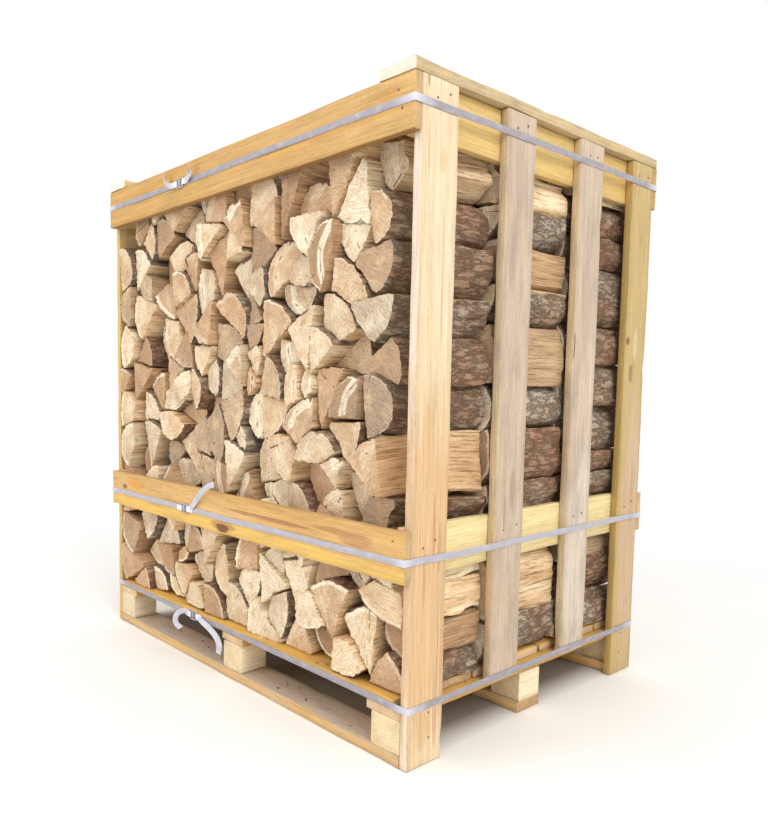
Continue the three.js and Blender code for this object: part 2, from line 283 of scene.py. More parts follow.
    # Stains and big knots that this board is known by, with edges frayed along the grain.
    frayed = node(tree, "MapRange", {"Value": smudge, "To Min": -0.5, "To Max": 0.5})
    frayed = node(tree, "Math", {0: streak, 1: 0.9, 2: frayed}, operation="MULTIPLY_ADD")
    for (along, up), (half_long, half_wide), code, share in stains:
        place = node(tree, "Attribute", attribute_name="place", out="Vector")
        away = node(tree, "VectorMath", {0: place, 1: (along, up, 0.0)}, operation="SUBTRACT")
        away = node(tree, "VectorMath", {0: away, 1: (1 / half_long, 1 / half_wide, 0.0)},
                    operation="MULTIPLY")
        away = node(tree, "VectorMath", {0: away}, operation="LENGTH", out="Value")
        away = node(tree, "Math", {0: away, 1: frayed}, operation="ADD")
        inside = node(tree, "MapRange", {"Value": away, "From Min": 1.55, "From Max": 1.1, "To Max": share},
                      interpolation_type="SMOOTHSTEP")
        stained = node(tree, "MixRGB", {"Fac": inside, "Color1": stained, "Color2": linear(code)})
    knotted = node(tree, "MixRGB", {"Fac": knot, "Color1": stained, "Color2": linear("#7d4f33")})
    dirty = node(tree, "MixRGB", {"Fac": grey, "Color1": knotted, "Color2": linear(dirt)})
    if top_dirt:
        facing = node(tree, "SeparateXYZ", {0: node(tree, "NewGeometry", out="Normal")}, out=2)
        lying = node(tree, "MapRange", {"Value": facing, "From Min": 0.6, "From Max": 0.95})
        cover = node(tree, "MapRange", {"Value": smudge, "From Min": 0.25, "From Max": 0.5, "To Min": 0.55,
                                        "To Max": top_dirt})
        lying = node(tree, "Math", {0: lying, 1: cover}, operation="MULTIPLY")
        dirty = node(tree, "MixRGB", {"Fac": lying, "Color1": dirty, "Color2": linear(dirt)})
    light = node(tree, "MapRange", {"Value": fibre, "From Min": 0.25, "From Max": 0.75, "To Min": 0.80,
                                    "To Max": 1.14})
    streaked = node(tree, "MapRange", {"Value": streak, "From Min": 0.3, "From Max": 0.7, "To Min": 0.94,
                                       "To Max": 1.04})
    light = node(tree, "Math", {0: light, 1: streaked}, operation="MULTIPLY")
    # Hairline drying cracks and torn fibre, 1 to 2 mm wide, and fuzz left by the saw.
    hair = node(tree, "Math", {0: streak, 1: 0.46, 2: 0.012}, operation="COMPARE")
    hair = node(tree, "MapRange", {"Value": hair, "To Min": 1.0, "To Max": 1.0 if end_grain else 0.87})
    light = node(tree, "Math", {0: light, 1: hair}, operation="MULTIPLY")
    fuzz = node(tree, "TexNoise", {"Vector": at, "Scale": 340.0, "Detail": 2.0, "Roughness": 0.7})
    fuzz = node(tree, "MapRange", {"Value": fuzz, "From Min": 0.25, "From Max": 0.75, "To Min": 0.87,
                                   "To Max": 1.13})
    light = node(tree, "Math", {0: light, 1: fuzz}, operation="MULTIPLY")
    toned = node(tree, "Math", {0: tone[0], 1: 0.05, 2: light}, operation="MULTIPLY_ADD")
    worn = node(tree, "Math", {0: edge, 1: -0.10, 2: toned}, operation="MULTIPLY_ADD")
    if end_grain:
        worn = node(tree, "Math", {0: worn, 1: 0.92}, operation="MULTIPLY")
    colour = node(tree, "VectorMath", {0: dirty, "Scale": worn}, operation="SCALE")
    height = node(tree, "Math", {0: late_band, 1: 0.35, 2: fibre}, operation="MULTIPLY_ADD")
    height = node(tree, "Math", {0: saw, 1: 0.3, 2: height}, operation="MULTIPLY_ADD")
    bump = node(tree, "Bump", {"Strength": 0.55, "Distance": 0.0009, "Height": height})
    rough = node(tree, "MapRange", {"Value": fibre, "To Min": 0.62, "To Max": 0.85})
    surface = node(tree, "BsdfPrincipled", {"Base Color": colour, "Roughness": rough, "Normal": bump,
                                            "IOR": 1.5, "Specular IOR Level": 0.3})
    node(tree, "OutputMaterial", {"Surface": surface})
    return material


# Boards, in metres: softened edges, mesh steps, bevelled and slightly skewed ends, and chips.
EDGE_ROUND = 0.0016
STATION_STEP = 0.022
FACET_ACROSS = 0.016
FACET_THROUGH = 0.011
END_BEVEL = 0.0010
END_BEVEL_LONG = 0.0012
SAW_SKEW = 0.0008
SAW_SKEW_MOST = 0.0012
CHIP_LONG = (0.01, 0.035)
CHIP_DEEP = (0.001, 0.0028)


def sawn_board(cad, side, end, seed, along=None, stray=0.0009, chips=2, grey=None):
    """A board in place of a CAD node: slightly uneven sawn faces, soft edges and a few chipped places."""
    rng = np.random.default_rng(seed)
    low, high = (np.array(c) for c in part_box(cad))
    size, middle = high - low, (low + high) / 2
    order = np.argsort(size)
    u = int(order[2]) if along is None else along
    w, v = [int(i) for i in order if i != u]
    mirrored = (u + 1) % 3 != v
    length, width, thick = size[u], size[v], size[w]
    r = EDGE_ROUND
    # The section, anticlockwise: along each face, then round each corner.
    n_wide, n_thin = max(2, int(width / FACET_ACROSS)), max(1, int(thick / FACET_THROUGH))
    section, rounded, narrow, corners = [], [], [], []
    for cx, cy, start, n, step in (
        (1, -1, -90, n_thin, (0, 1)), (1, 1, 0, n_wide, (-1, 0)),
        (-1, 1, 90, n_thin, (0, -1)), (-1, -1, 180, n_wide, (1, 0)),
    ):
        corner = np.array([cx * (width / 2 - r), cy * (thick / 2 - r)])
        corners.append(len(section) + 1)
        for k in range(3):
            a = math.radians(start + 45 * k)
            section.append(corner + r * np.array([math.cos(a), math.sin(a)]))
            rounded.append(1.0)
            narrow.append(abs(math.cos(a)) > 0.7)
        span = (thick if step[1] else width) - 2 * r
        for k in range(1, n):
            section.append(section[-1] + np.array(step) * span / n)
            rounded.append(0.0)
            narrow.append(step[1] != 0)
    section, rounded = np.array(section), np.array(rounded)
    n = len(section)
    stations = int(max(4, length / STATION_STEP))
    places = np.concatenate([[-length / 2, -length / 2 + END_BEVEL_LONG],
                             np.linspace(-length / 2, length / 2, stations + 1)[1:-1],
                             [length / 2 - END_BEVEL_LONG, length / 2]])
    inset = np.zeros(len(places))
    inset[[0, -1]] = END_BEVEL
    grid_v = np.zeros((len(places), n))
    grid_w = np.zeros((len(places), n))
    plus, minus = wander(rng, places, 0.5, stray), wander(rng, places, 0.4, stray)
    up, down = wander(rng, places, 0.6, stray * 0.6), wander(rng, places, 0.6, stray * 0.6)
    for j in range(len(places)):
        shrink = np.array([1 - 2 * inset[j] / width, 1 - 2 * inset[j] / thick])
        ring = section * shrink
        t = ring[:, 0] / width + 0.5
        s = ring[:, 1] / thick + 0.5
        grid_v[j] = ring[:, 0] + plus[j] * t - minus[j] * (1 - t) - abs(stray) * (2 * t - 1)
        grid_w[j] = ring[:, 1] + up[j] * s - down[j] * (1 - s) - abs(stray) * 0.6 * (2 * s - 1)
    grid_u = np.repeat(places[:, None], n, axis=1)
    # The ends are sawn a little out of square.
    for side_of, j in ((-1, 0), (-1, 1), (1, -1), (1, -2)):
        skew = wander(rng, section[:, 0], 0.3, SAW_SKEW) - SAW_SKEW_MOST
        grid_u[j] += side_of * skew
    # Chips: short scoops out of the long edges.
    for _ in range(chips):
        corner = corners[rng.integers(4)]
        centre, reach = rng.uniform(-length / 2, length / 2), rng.uniform(*CHIP_LONG)
        depth = rng.uniform(*CHIP_DEEP) * np.exp(-((places - centre) / reach) ** 2)
        for k in (-1, 0, 1):
            i = (corner + k) % n
            toward = -section[i] / np.linalg.norm(section[i])
            grid_v[:, i] += depth * np.sign(toward[0]) * 0.8
            grid_w[:, i] += depth * np.sign(toward[1]) * 0.8
    count = len(places) * n
    local = np.zeros((count + 2, 3))
    local[:count] = np.c_[grid_u.ravel(), grid_v.ravel(), grid_w.ravel()]
    local[count] = (grid_u[0].mean(), 0, 0)
    local[count + 1] = (grid_u[-1].mean(), 0, 0)
    faces, kinds = [], []
    for j in range(len(places) - 1):
        for i in range(n):
            k = (i + 1) % n
            faces.append((j * n + i, j * n + k, (j + 1) * n + k, (j + 1) * n + i))
            kinds.append(0)
    last = (len(places) - 1) * n
    for i in range(n):
        k = (i + 1) % n
        faces += [(count, k, i), (count + 1, last + i, last + k)]
        kinds += [1, 1]
    points = np.zeros_like(local)
    points[:, u], points[:, v], points[:, w] = local.T
    points += middle
    if mirrored:
        faces = [tuple(reversed(f)) for f in faces]
    # Where the board lay in its trunk: the trunk's middle is off to one side, and leans along the length.
    pith = np.array([rng.uniform(-0.05, 0.05), rng.uniform(0.02, 0.10) * rng.choice([-1, 1])])
    lean = rng.normal(0, 0.012, 2)
    grain = local.copy()
    grain[:, 1] += pith[0] + lean[0] * local[:, 0]
    grain[:, 2] += pith[1] + lean[1] * local[:, 0]
    grain[:, 0] += rng.uniform(0, 50)
    edge = np.concatenate([np.tile(rounded, len(places)), [0.0, 0.0]])
    thin_side = np.concatenate([np.tile(np.array(narrow, float), len(places)), [0.0, 0.0]])
    tone = np.tile([rng.normal(0, 0.6), rng.normal(0, 0.6), rng.uniform(0, 1) if grey is None else grey],
                   (count + 2, 1))
    board = solid("sawn_" + cad, points, faces,
                  {"grain": grain, "place": local, "edge": edge, "narrow": thin_side, "tone": tone},
                  [side, end], kinds)
    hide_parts(cad)
    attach(board, "root")
    return board


pallet_side = sawn_timber("rough_sawn_pallet_pine", "#e9c178", "#dcab5a", "#c98f4c", "#c6b6a4", 0.45,
                          top_dirt=0.95, knot_share=0.4)
pallet_end = sawn_timber("rough_sawn_pallet_pine_end", "#e3b98a", "#cf9a63", "#b07a45", "#a48f7c", 0.5,
                         end_grain=True)
for i, row in enumerate(("front", "middle", "back")):
    sawn_board("runner_" + row, pallet_side, pallet_end, 100 + i, chips=6)


# Pallet blocks. Nine short lengths of sawn softwood, 90 mm square, nailed between runners and stringers.
block_side = sawn_timber("sawn_block_spruce", "#fdf0d2", "#f8e5c0", "#e6c897", "#d6c4a6", 0.22,
                         knot_share=0.2,
                         ring_share=0.22)
block_end = sawn_timber("sawn_block_spruce_end", "#f7e6c4", "#efd6aa", "#c9a674", "#c4ae8a", 0.3,
                        ring_mm=7.0,
                        ring_share=0.5, end_grain=True)
for i, row in enumerate(("front", "middle", "back")):
    for j, side_name in enumerate(("left", "middle", "right")):
        sawn_board(f"block_{row}_{side_name}", block_side, block_end, 120 + 3 * i + j,
                   along=1, chips=2)


# Stringers and deck. Three boards cross the blocks and seven lie on them, side by side along the pallet,
# under the logs. Fresh sawn pine, strongly yellow where it is clean, with pinkish sawn ends.
deck_side = sawn_timber("fresh_sawn_deck_pine", "#f0c468", "#e8b352", "#d29a45", "#a58a66", 0.35,
                        knot_share=0.4)
deck_end = sawn_timber("fresh_sawn_deck_pine_end", "#f3dcb8", "#e6c598", "#c79f6e", "#b99c7c", 0.35,
                       end_grain=True)
for i, side_name in enumerate(("left", "middle", "right")):
    sawn_board("stringer_" + side_name, deck_side, deck_end, 140 + i)
for i in range(7):
    sawn_board(f"deck_board_{i + 1}", deck_side, deck_end, 150 + i)


# Corner posts. Four upright boards, 118 mm wide, nailed to the rails and bands. The pine is cream with
# paler sawn edges at the front right corner, tan at the back right one and golden on the left, and has
# brown streaks.
# Each has its pale, deep and late-ring colours, that of its narrow edges, and its stains.
post_end = sawn_timber("pale_sawn_post_pine_end", "#edd0a6", "#dfb685", "#c2945f", "#b29674", 0.3,
                       end_grain=True)
post_kinds = {
    # The front left post's deeper yellow-orange is partly painted light reflected off the logs.
    "left_front": ("#e4c789", "#dab36e", "#c39453", "#e0b96c", ()),
    "left_back": ("#f0d49c", "#e6c080", "#cf9f5c", "#ecc884", ()),
    "right_front": ("#ebdcbf", "#e4cda7", "#d9b380", "#f7e4cf", (
        ((-0.30, 0.000), (0.42, 0.200), "#d2a064", 0.62),
        ((0.580, 0.012), (0.030, 0.012), "#d6b27c", 0.55),
        ((0.615, -0.034), (0.070, 0.0025), "#a98455", 0.60),
        ((0.730, -0.039), (0.022, 0.0035), "#8a6a45", 0.85),
        ((0.300, 0.020), (0.150, 0.004), "#cda26a", 0.50),
        ((-0.200, 0.014), (0.090, 0.006), "#b0744a", 0.50),
        ((-0.310, -0.014), (0.080, 0.005), "#b0744a", 0.45),
        ((-0.250, 0.034), (0.060, 0.005), "#b0744a", 0.45),
        ((-0.620, 0.030), (0.120, 0.006), "#b98a78", 0.50),
        ((-0.660, -0.011), (0.050, 0.030), "#c9a878", 0.45),
        ((-0.560, 0.036), (0.200, 0.0018), "#8f6746", 0.65),
        ((-0.600, 0.026), (0.120, 0.0014), "#a07a55", 0.50),
    )),
    "right_back": ("#bba26c", "#ac8b56", "#94763c", "#c2a05c", (
        ((-0.300, 0.016), (0.420, 0.060), "#c4a689", 0.85),
        ((0.149, -0.018), (0.030, 0.012), "#80694c", 0.75),
        ((0.230, 0.000), (0.050, 0.014), "#d9c4a2", 0.60),
        ((-0.200, 0.020), (0.100, 0.008), "#a9825a", 0.50),
    )),
}
for i, (corner, (pale, deep, late, narrow, stains)) in enumerate(post_kinds.items()):
    post_side = sawn_timber("pale_sawn_post_pine_" + corner, pale, deep, late, "#cdb08c", 0.22,
                            knot_share=0.2,
                            ring_share=0.20, narrow=narrow, stains=stains)
    sawn_board("post_" + corner, post_side, post_end, 170 + i)


# Slats. Two upright boards close each end: older stock, greyed pinkish by the weather on its faces, with
# creamy yellow edges where it was sawn to width later.
slat_end = sawn_timber("weathered_slat_board_end", "#d5b892", "#c7a67e", "#a98862", "#9c8a78", 0.5,
                       end_grain=True)
slat_stains = {
    "left_1": (), "left_2": (),
    "right_1": (
        ((0.364, -0.020), (0.110, 0.018), "#9c8e80", 0.50),
        ((0.520, 0.000), (0.090, 0.030), "#b5a594", 0.45),
        ((-0.207, 0.008), (0.060, 0.013), "#94745a", 0.55),
        ((-0.260, -0.020), (0.040, 0.006), "#94745a", 0.45),
    ),
    "right_2": (
        ((0.298, -0.006), (0.110, 0.020), "#a3968a", 0.45),
        ((0.150, -0.050), (0.045, 0.004), "#654c38", 0.85),
        ((-0.100, 0.010), (0.080, 0.006), "#a88d74", 0.50),
        ((-0.400, 0.000), (0.300, 0.070), "#e6dac9", 0.45),
    ),
}
for i, (name, stains) in enumerate(slat_stains.items()):
    slat_side = sawn_timber("weathered_slat_board_" + name, "#d4c0aa", "#c9b096", "#a3886f", "#a89888", 0.6,
                            ring_mm=7.0, ring_share=0.22, knot_share=0.2, narrow="#ebcfa2", stains=stains)
    sawn_board("slat_" + name, slat_side, slat_end, 180 + i, chips=4)


# End rails. Boards on edge behind the posts and slats, two at each end of the crate: pale yellow pine.
rail_end = sawn_timber("pale_yellow_rail_pine_end", "#e6c48c", "#d8b077", "#b98d57", "#ad9066", 0.3,
                       end_grain=True)
# The top rails are coloured darker and more golden than the middle ones, as painted shade under the caps.
for level, pale, deep in (("top", "#dfc484", "#d2ae66"), ("middle", "#f4e2ac", "#ecd69a")):
    rail_side = sawn_timber(f"pale_yellow_{level}_rail_pine", pale, deep, "#d8b263", "#c1a272", 0.2,
                            ring_share=0.25, knot_share=0.3)
    for i, name in enumerate(("left", "right")):
        sawn_board(f"rail_{level}_{name}", rail_side, rail_end, 190 + i + len(level))


# Cap boards. One lies flat across the top of each end, nailed down into the posts and rail.
cap_side = sawn_timber("sawn_cap_pine", "#e3c998", "#d6b780", "#b99664", "#a3947e", 0.6, knot_share=0.3)
cap_end = sawn_timber("sawn_cap_pine_end", "#fbf2e2", "#f3e4cb", "#ddc19a", "#d9c6ac", 0.2, ring_share=0.2,
                      end_grain=True)
for i, name in enumerate(("left", "right")):
    sawn_board("cap_" + name, cap_side, cap_end, 200 + i, chips=4)


# Bands. Four long boards run across the front and back, nailed to the posts: golden pine with knots. The
# middle front one has a brown knot at its lower edge and a long brown streak that ends in a stain.
band_end = sawn_timber("golden_sawn_band_pine_end", "#dfc192", "#cfa870", "#ab8352", "#a08563", 0.4,
                       end_grain=True)
band_stains = {
    "top_front": (
        ((-0.420, 0.000), (0.520, 0.120), "#c9984f", 0.50),
        ((-0.450, 0.020), (0.100, 0.020), "#d99c48", 0.50),
        ((0.380, -0.010), (0.300, 0.012), "#d8a050", 0.45),
        ((0.610, 0.030), (0.050, 0.016), "#cf8f45", 0.50),
    ),
    "top_back": (),
    "middle_front": (
        ((0.000, -0.046), (1.100, 0.030), "#ecc35c", 0.55),
        ((-0.512, 0.028), (0.070, 0.018), "#d58f2e", 0.60),
        ((-0.596, 0.012), (0.018, 0.010), "#77482a", 0.85),
        ((0.000, -0.032), (0.060, 0.018), "#a9713f", 0.60),
        ((0.000, -0.040), (0.032, 0.012), "#6f4430", 0.90),
        ((0.210, 0.017), (0.230, 0.006), "#a87650", 0.85),
        ((0.480, 0.026), (0.110, 0.008), "#a87650", 0.70),
        ((0.540, 0.018), (0.070, 0.018), "#b88860", 0.75),
        ((-0.250, 0.000), (0.120, 0.008), "#c98a3e", 0.50),
    ),
    "middle_back": (),
}
# The top bands' narrow edges are coloured dark brown, as painted shade on their undersides; their upper
# edges get the same colour.
for i, (name, stains) in enumerate(band_stains.items()):
    band_side = sawn_timber("golden_sawn_band_pine_" + name, "#dfbb80", "#d2a460", "#ba8545", "#a3875f",
                            0.35,
                            ring_share=0.30, knot_share=0.5, stains=stains,
                            narrow="#a87a42" if name.startswith("top") else None)
    sawn_board("band_" + name, band_side, band_end, 210 + i, chips=4)


# Firewood. Three rows of split hardwood, about 0.3 m long, stacked by hand between the end rails. Each
# piece is a slice of a round: two fibrous split faces, bark or sapwood round the outside, sawn ends.
STACK_STEP = 0.004
STACK_WIDTH = 1.290
STACK_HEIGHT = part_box("log_row_front")[1][2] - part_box("log_row_front")[0][2]
STACK_LEFT, _, STACK_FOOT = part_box("log_row_front")[0]
PIECE_AREA = 0.0080
PIECE_SPREAD = 0.24
ROUND_MOST = 0.155
BLUNT_TIP = (0.006, 0.024)
OUTLINE_STEP = 0.012
AIR_GAP = 0.0012
TOUCHING = 0.004
SLIVER = (0.002, 0.07)
PIT_WIDE = 0.055
PIT_SLACK = 0.010
PIT_DEEP = 0.12
# What a spot costs a piece for air under it, height, a poor rest, a sliver of room or a gap at a wall, and
# what bark against a wall earns it.
GAP_COST = 1.2
LIFT_COST = 9.0
TIP_COST = 10.0
SLIVER_COST = 1.2
WALL_GAP_COST = 14.0
BARK_OUT = 0.20
NO_ROOM = 99.0


def split_piece(rng):
    """The outline of one split piece about the middle of its round, and which of its edges are bark."""
    kind = rng.choice(["wedge", "quarter", "half", "outer", "heart", "small"],
                      p=[0.40, 0.19, 0.09, 0.13, 0.06, 0.13])
    spread = {"wedge": (38, 68), "quarter": (75, 100), "half": (140, 178),
              "outer": (45, 75), "heart": (55, 85), "small": (40, 100)}[kind]
    angle = math.radians(rng.uniform(*spread))
    share = {"outer": 1.3, "heart": 1.5, "small": 0.42}.get(kind, 1.0)
    area = PIECE_AREA * math.exp(rng.normal(0, PIECE_SPREAD)) * share
    radius = min(math.sqrt(2 * area / angle), ROUND_MOST)
    turn = np.linspace(-angle / 2, angle / 2, max(8, int(angle * radius / 0.010)))
    reach = radius * (1 + sum(rng.normal(0, 0.022 / k) * np.sin(k * turn * 2 + rng.uniform(0, 6.28))
                              for k in (1, 2, 3, 4)))
    arc = np.c_[reach * np.cos(turn), reach * np.sin(turn)]
    inner = [np.zeros(2)]
    if kind in ("outer", "heart"):
        cut = radius * (rng.uniform(0.30, 0.44) if kind == "outer" else rng.uniform(0.66, 0.8))
        lean = rng.normal(0, 0.18)
        sweep = np.linspace(-angle / 2, angle / 2, 5)
        chord = (cut / np.cos(sweep - lean))[:, None] * np.c_[np.cos(sweep), np.sin(sweep)]
        if kind == "outer":
            inner = [chord[-1], chord[0]]
        else:
            arc = chord
    elif rng.random() < 0.5:
        blunt = rng.uniform(*BLUNT_TIP)
        inner = [blunt * np.array([math.cos(angle / 2), y * math.sin(angle / 2)]) for y in (1, -1)]
    corners = [arc[-1], *inner, arc[0]]
    points, bark = list(arc[:-1]), [kind != "heart"] * (len(arc) - 1)
    for a, b in zip(corners[:-1], corners[1:]):
        length = np.linalg.norm(b - a)
        n = max(2, int(length / OUTLINE_STEP))
        side = np.array([b[1] - a[1], a[0] - b[0]]) / max(length, 1e-6)
        bow = rng.normal(0, 0.022) * length
        for i in range(n):
            t = i / n
            rough = rng.normal(0, 0.0013) if i else 0
            points.append(a + (b - a) * t + side * (bow * 4 * t * (1 - t) + rough))
            bark.append(False)
    return np.array(points), np.array(bark)


def profile(points):
    """Where an outline starts across the stack, and its lowest and highest height at each step."""
    start = points[:, 0].min()
    n = int(np.ceil((points[:, 0].max() - start) / STACK_STEP)) + 1
    xs = start + STACK_STEP * np.arange(n)
    low, high = np.full(n, 9.0), np.full(n, -9.0)
    for (x0, z0), (x1, z1) in zip(points, np.roll(points, -1, axis=0)):
        a, b = sorted((x0, x1))
        i0, i1 = int((a - start) / STACK_STEP), int(np.ceil((b - start) / STACK_STEP)) + 1
        z = z0 + (np.clip(xs[i0:i1], a, b) - x0) * (z1 - z0) / (x1 - x0 if abs(x1 - x0) > 1e-7 else 1e-7)
        low[i0:i1] = np.minimum(low[i0:i1], z)
        high[i0:i1] = np.maximum(high[i0:i1], z)
    return start, low, high


def pits(ground, j, w):
    """The area of gaps too narrow for a piece that the surface has beside a newly laid one."""
    m = int(PIT_WIDE / STACK_STEP)
    part = np.pad(ground, 2 * m, constant_values=9.0)[j + m:j + w + 3 * m]
    walls = np.lib.stride_tricks.sliding_window_view(part, m)
    n = len(part) - 2 * m
    banks = np.minimum(walls[:n].max(axis=1), walls[m:m + n].max(axis=1))
    return np.clip(banks - part[m:m + n] - PIT_SLACK, 0, PIT_DEEP).sum() * STACK_STEP


def lay_stack(rng, hand_size=12, turns=18):
    """Lays pieces one at a time, each time the piece from the hand and the spot that fit best together."""
    ground = np.zeros(int(STACK_WIDTH / STACK_STEP))
    laid, hand = [], []
    while True:
        while len(hand) < hand_size:
            points, bark = split_piece(rng)
            hand.append([])
            for a in rng.uniform(0, 2 * math.pi) + np.arange(turns) * 2 * math.pi / turns:
                turned = points @ np.array([[math.cos(a), math.sin(a)], [-math.sin(a), math.cos(a)]])
                start, low, high = profile(turned)
                thick = high - low
                rise = np.roll(turned[:, 1], -1) - turned[:, 1]
                sides = []
                for faces, inset in ((rise < 0, turned[:, 0] - start),
                                     (rise > 0, turned[:, 0].max() - turned[:, 0])):
                    share = np.abs(rise[faces]) / np.abs(rise[faces]).sum()
                    earned = share[bark[faces]].sum() * BARK_OUT
                    sides.append((share * inset[faces]).sum() * WALL_GAP_COST - earned)
                centre = (np.arange(len(low)) * thick).sum() / thick.sum()
                area = thick.sum() * STACK_STEP
                hand[-1].append((turned, bark, a, start, low, high, centre, area, sides))
        best = None
        level = np.percentile(ground, 10)
        for k, tries in enumerate(hand):
            for t, (turned, bark, a, start, low, high, centre, area, sides) in enumerate(tries):
                w = len(low)
                under = np.lib.stride_tricks.sliding_window_view(ground, w)
                rest = (under - low).max(axis=1)
                clear = rest[:, None] + low - under
                touch = clear < TOUCHING
                first, last = touch.argmax(axis=1), w - 1 - touch[:, ::-1].argmax(axis=1)
                tippy = np.maximum(0, first - centre) + np.maximum(0, centre - last)
                middle = rest + (low.min() + high.max()) / 2
                spots = np.arange(len(rest))
                wall = np.minimum(spots, len(ground) - w - spots) * STACK_STEP
                score = (clear.sum(axis=1) * STACK_STEP / area * GAP_COST + (middle - level) * LIFT_COST
                         + np.where((wall > SLIVER[0]) & (wall < SLIVER[1]), SLIVER_COST, 0)
                         + tippy * STACK_STEP * TIP_COST
                         + np.where(rest + high.max() > STACK_HEIGHT, NO_ROOM, 0))
                score[0] += sides[0]
                score[-1] += sides[1]
                for j in np.argpartition(score, 2)[:2]:
                    if score[j] < NO_ROOM / 2 and (best is None or score[j] < best[0]):
                        after = ground.copy()
                        after[j:j + w] = rest[j] + high
                        total = score[j] + pits(after, j, w) / area
                        if best is None or total < best[0]:
                            best = (total, k, t, j, rest[j])
        if best is None:
            return laid
        _, k, t, j, rest = best
        turned, bark, a, start, low, high, *_ = hand.pop(k)[t]
        pith = np.array([j * STACK_STEP - start + STACK_STEP / 2, rest + AIR_GAP])
        laid.append([turned + pith, bark, pith, a])
        ground[j:j + len(low)] = rest + high + AIR_GAP


def clearance(points, edges):
    """Each point's distance to the nearest of some straight edges."""
    a, run = edges[:, 0], edges[:, 1] - edges[:, 0]
    t = np.clip(((points[:, None] - a) * run).sum(2) / np.maximum((run ** 2).sum(1), 1e-12), 0, 1)
    return np.sqrt(((points[:, None] - a - t[..., None] * run) ** 2).sum(2)).min(1)


def outward(points):
    """The direction straight out of an outline at each of its points."""
    chord = np.roll(points, -1, axis=0) - np.roll(points, 1, axis=0)
    length = np.maximum(np.linalg.norm(chord, axis=1), 1e-9)
    return np.c_[chord[:, 1], -chord[:, 0]] / length[:, None]


# How far a round of swelling moves a face, how near counts as beside it, and how uneven it may get.
SWELL_STEP = 0.001
SWELL_REACH = 0.006
SWELL_SLACK = 0.0003


def swell(laid, most):
    """Fattens pieces into the gaps beside them by up to a few millimetres, as a tight stack has them."""
    walls = np.array([[0, 0], [STACK_WIDTH, 0], [STACK_WIDTH, STACK_HEIGHT], [0, STACK_HEIGHT]])
    for _ in range(int(most / SWELL_STEP)):
        for piece in laid:
            points = piece[0]
            low, high = points.min(0) - SWELL_REACH, points.max(0) + SWELL_REACH
            near = [other[0] for other in laid if other is not piece
                    and (other[0].min(0) < high).all() and (other[0].max(0) > low).all()]
            edges = np.concatenate([np.stack([q, np.roll(q, -1, axis=0)], 1) for q in [*near, walls]])
            out = outward(points)
            room = np.minimum(clearance(points, edges) - SWELL_SLACK,
                              clearance(points + out * SWELL_STEP, edges))
            room = np.clip(room - AIR_GAP, 0, SWELL_STEP)
            eased = 0.25 * np.roll(room, 1) + 0.5 * room + 0.25 * np.roll(room, -1)
            piece[0] = points + out * np.minimum(room, eased + SWELL_SLACK)[:, None]
    return laid


def lean_on_posts(laid, rng):
    """Pushes what lies beside the end walls out past the rails, some of it as far as the posts."""
    reach, out = 0.10, 0.019
    rail_gap, rail_ease = 0.004, 0.03
    rails = [[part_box(f"rail_{level}_right")[end].z - STACK_FOOT for end in (0, 1)]
             for level in ("middle", "top")]
    for piece in laid:
        x, z = piece[0].T
        from_rails = np.min([np.maximum(low - z, z - high) for low, high in rails], axis=0)
        free = np.clip((from_rails - rail_gap) / rail_ease, 0, 1)
        free = free * free * (3 - 2 * free)
        left, right = np.clip(1 - x / reach, 0, 1), np.clip(1 - (STACK_WIDTH - x) / reach, 0, 1)
        piece[0] = np.c_[x + (right * rng.uniform(0.25, 1.0) - left) * out * free, z]
    return laid


# One log, in metres and radians: how uneven its torn faces, bark and sawn ends are, and how far it leans,
# bows, twists and tapers from end to end.
FIBRE_DEEP = 0.0009
LOG_LEAN = 0.0045
LOG_BOW = 0.0030
LOG_TWIST = 0.025
LOG_TAPER = 0.06
LOG_TAPER_MOST = 0.13
END_TILT = 0.045
BARK_RELIEF = 0.0026
BARK_RELIEF_AT_END = 0.0011
BARK_SUNK = 0.0008
FACE_SUNK = 0.0006
CUT_BEVEL = 0.0011
CUT_BEVEL_LONG = 0.0016
SAW_ROUGH = 0.0009
NO_BARK = 0.05


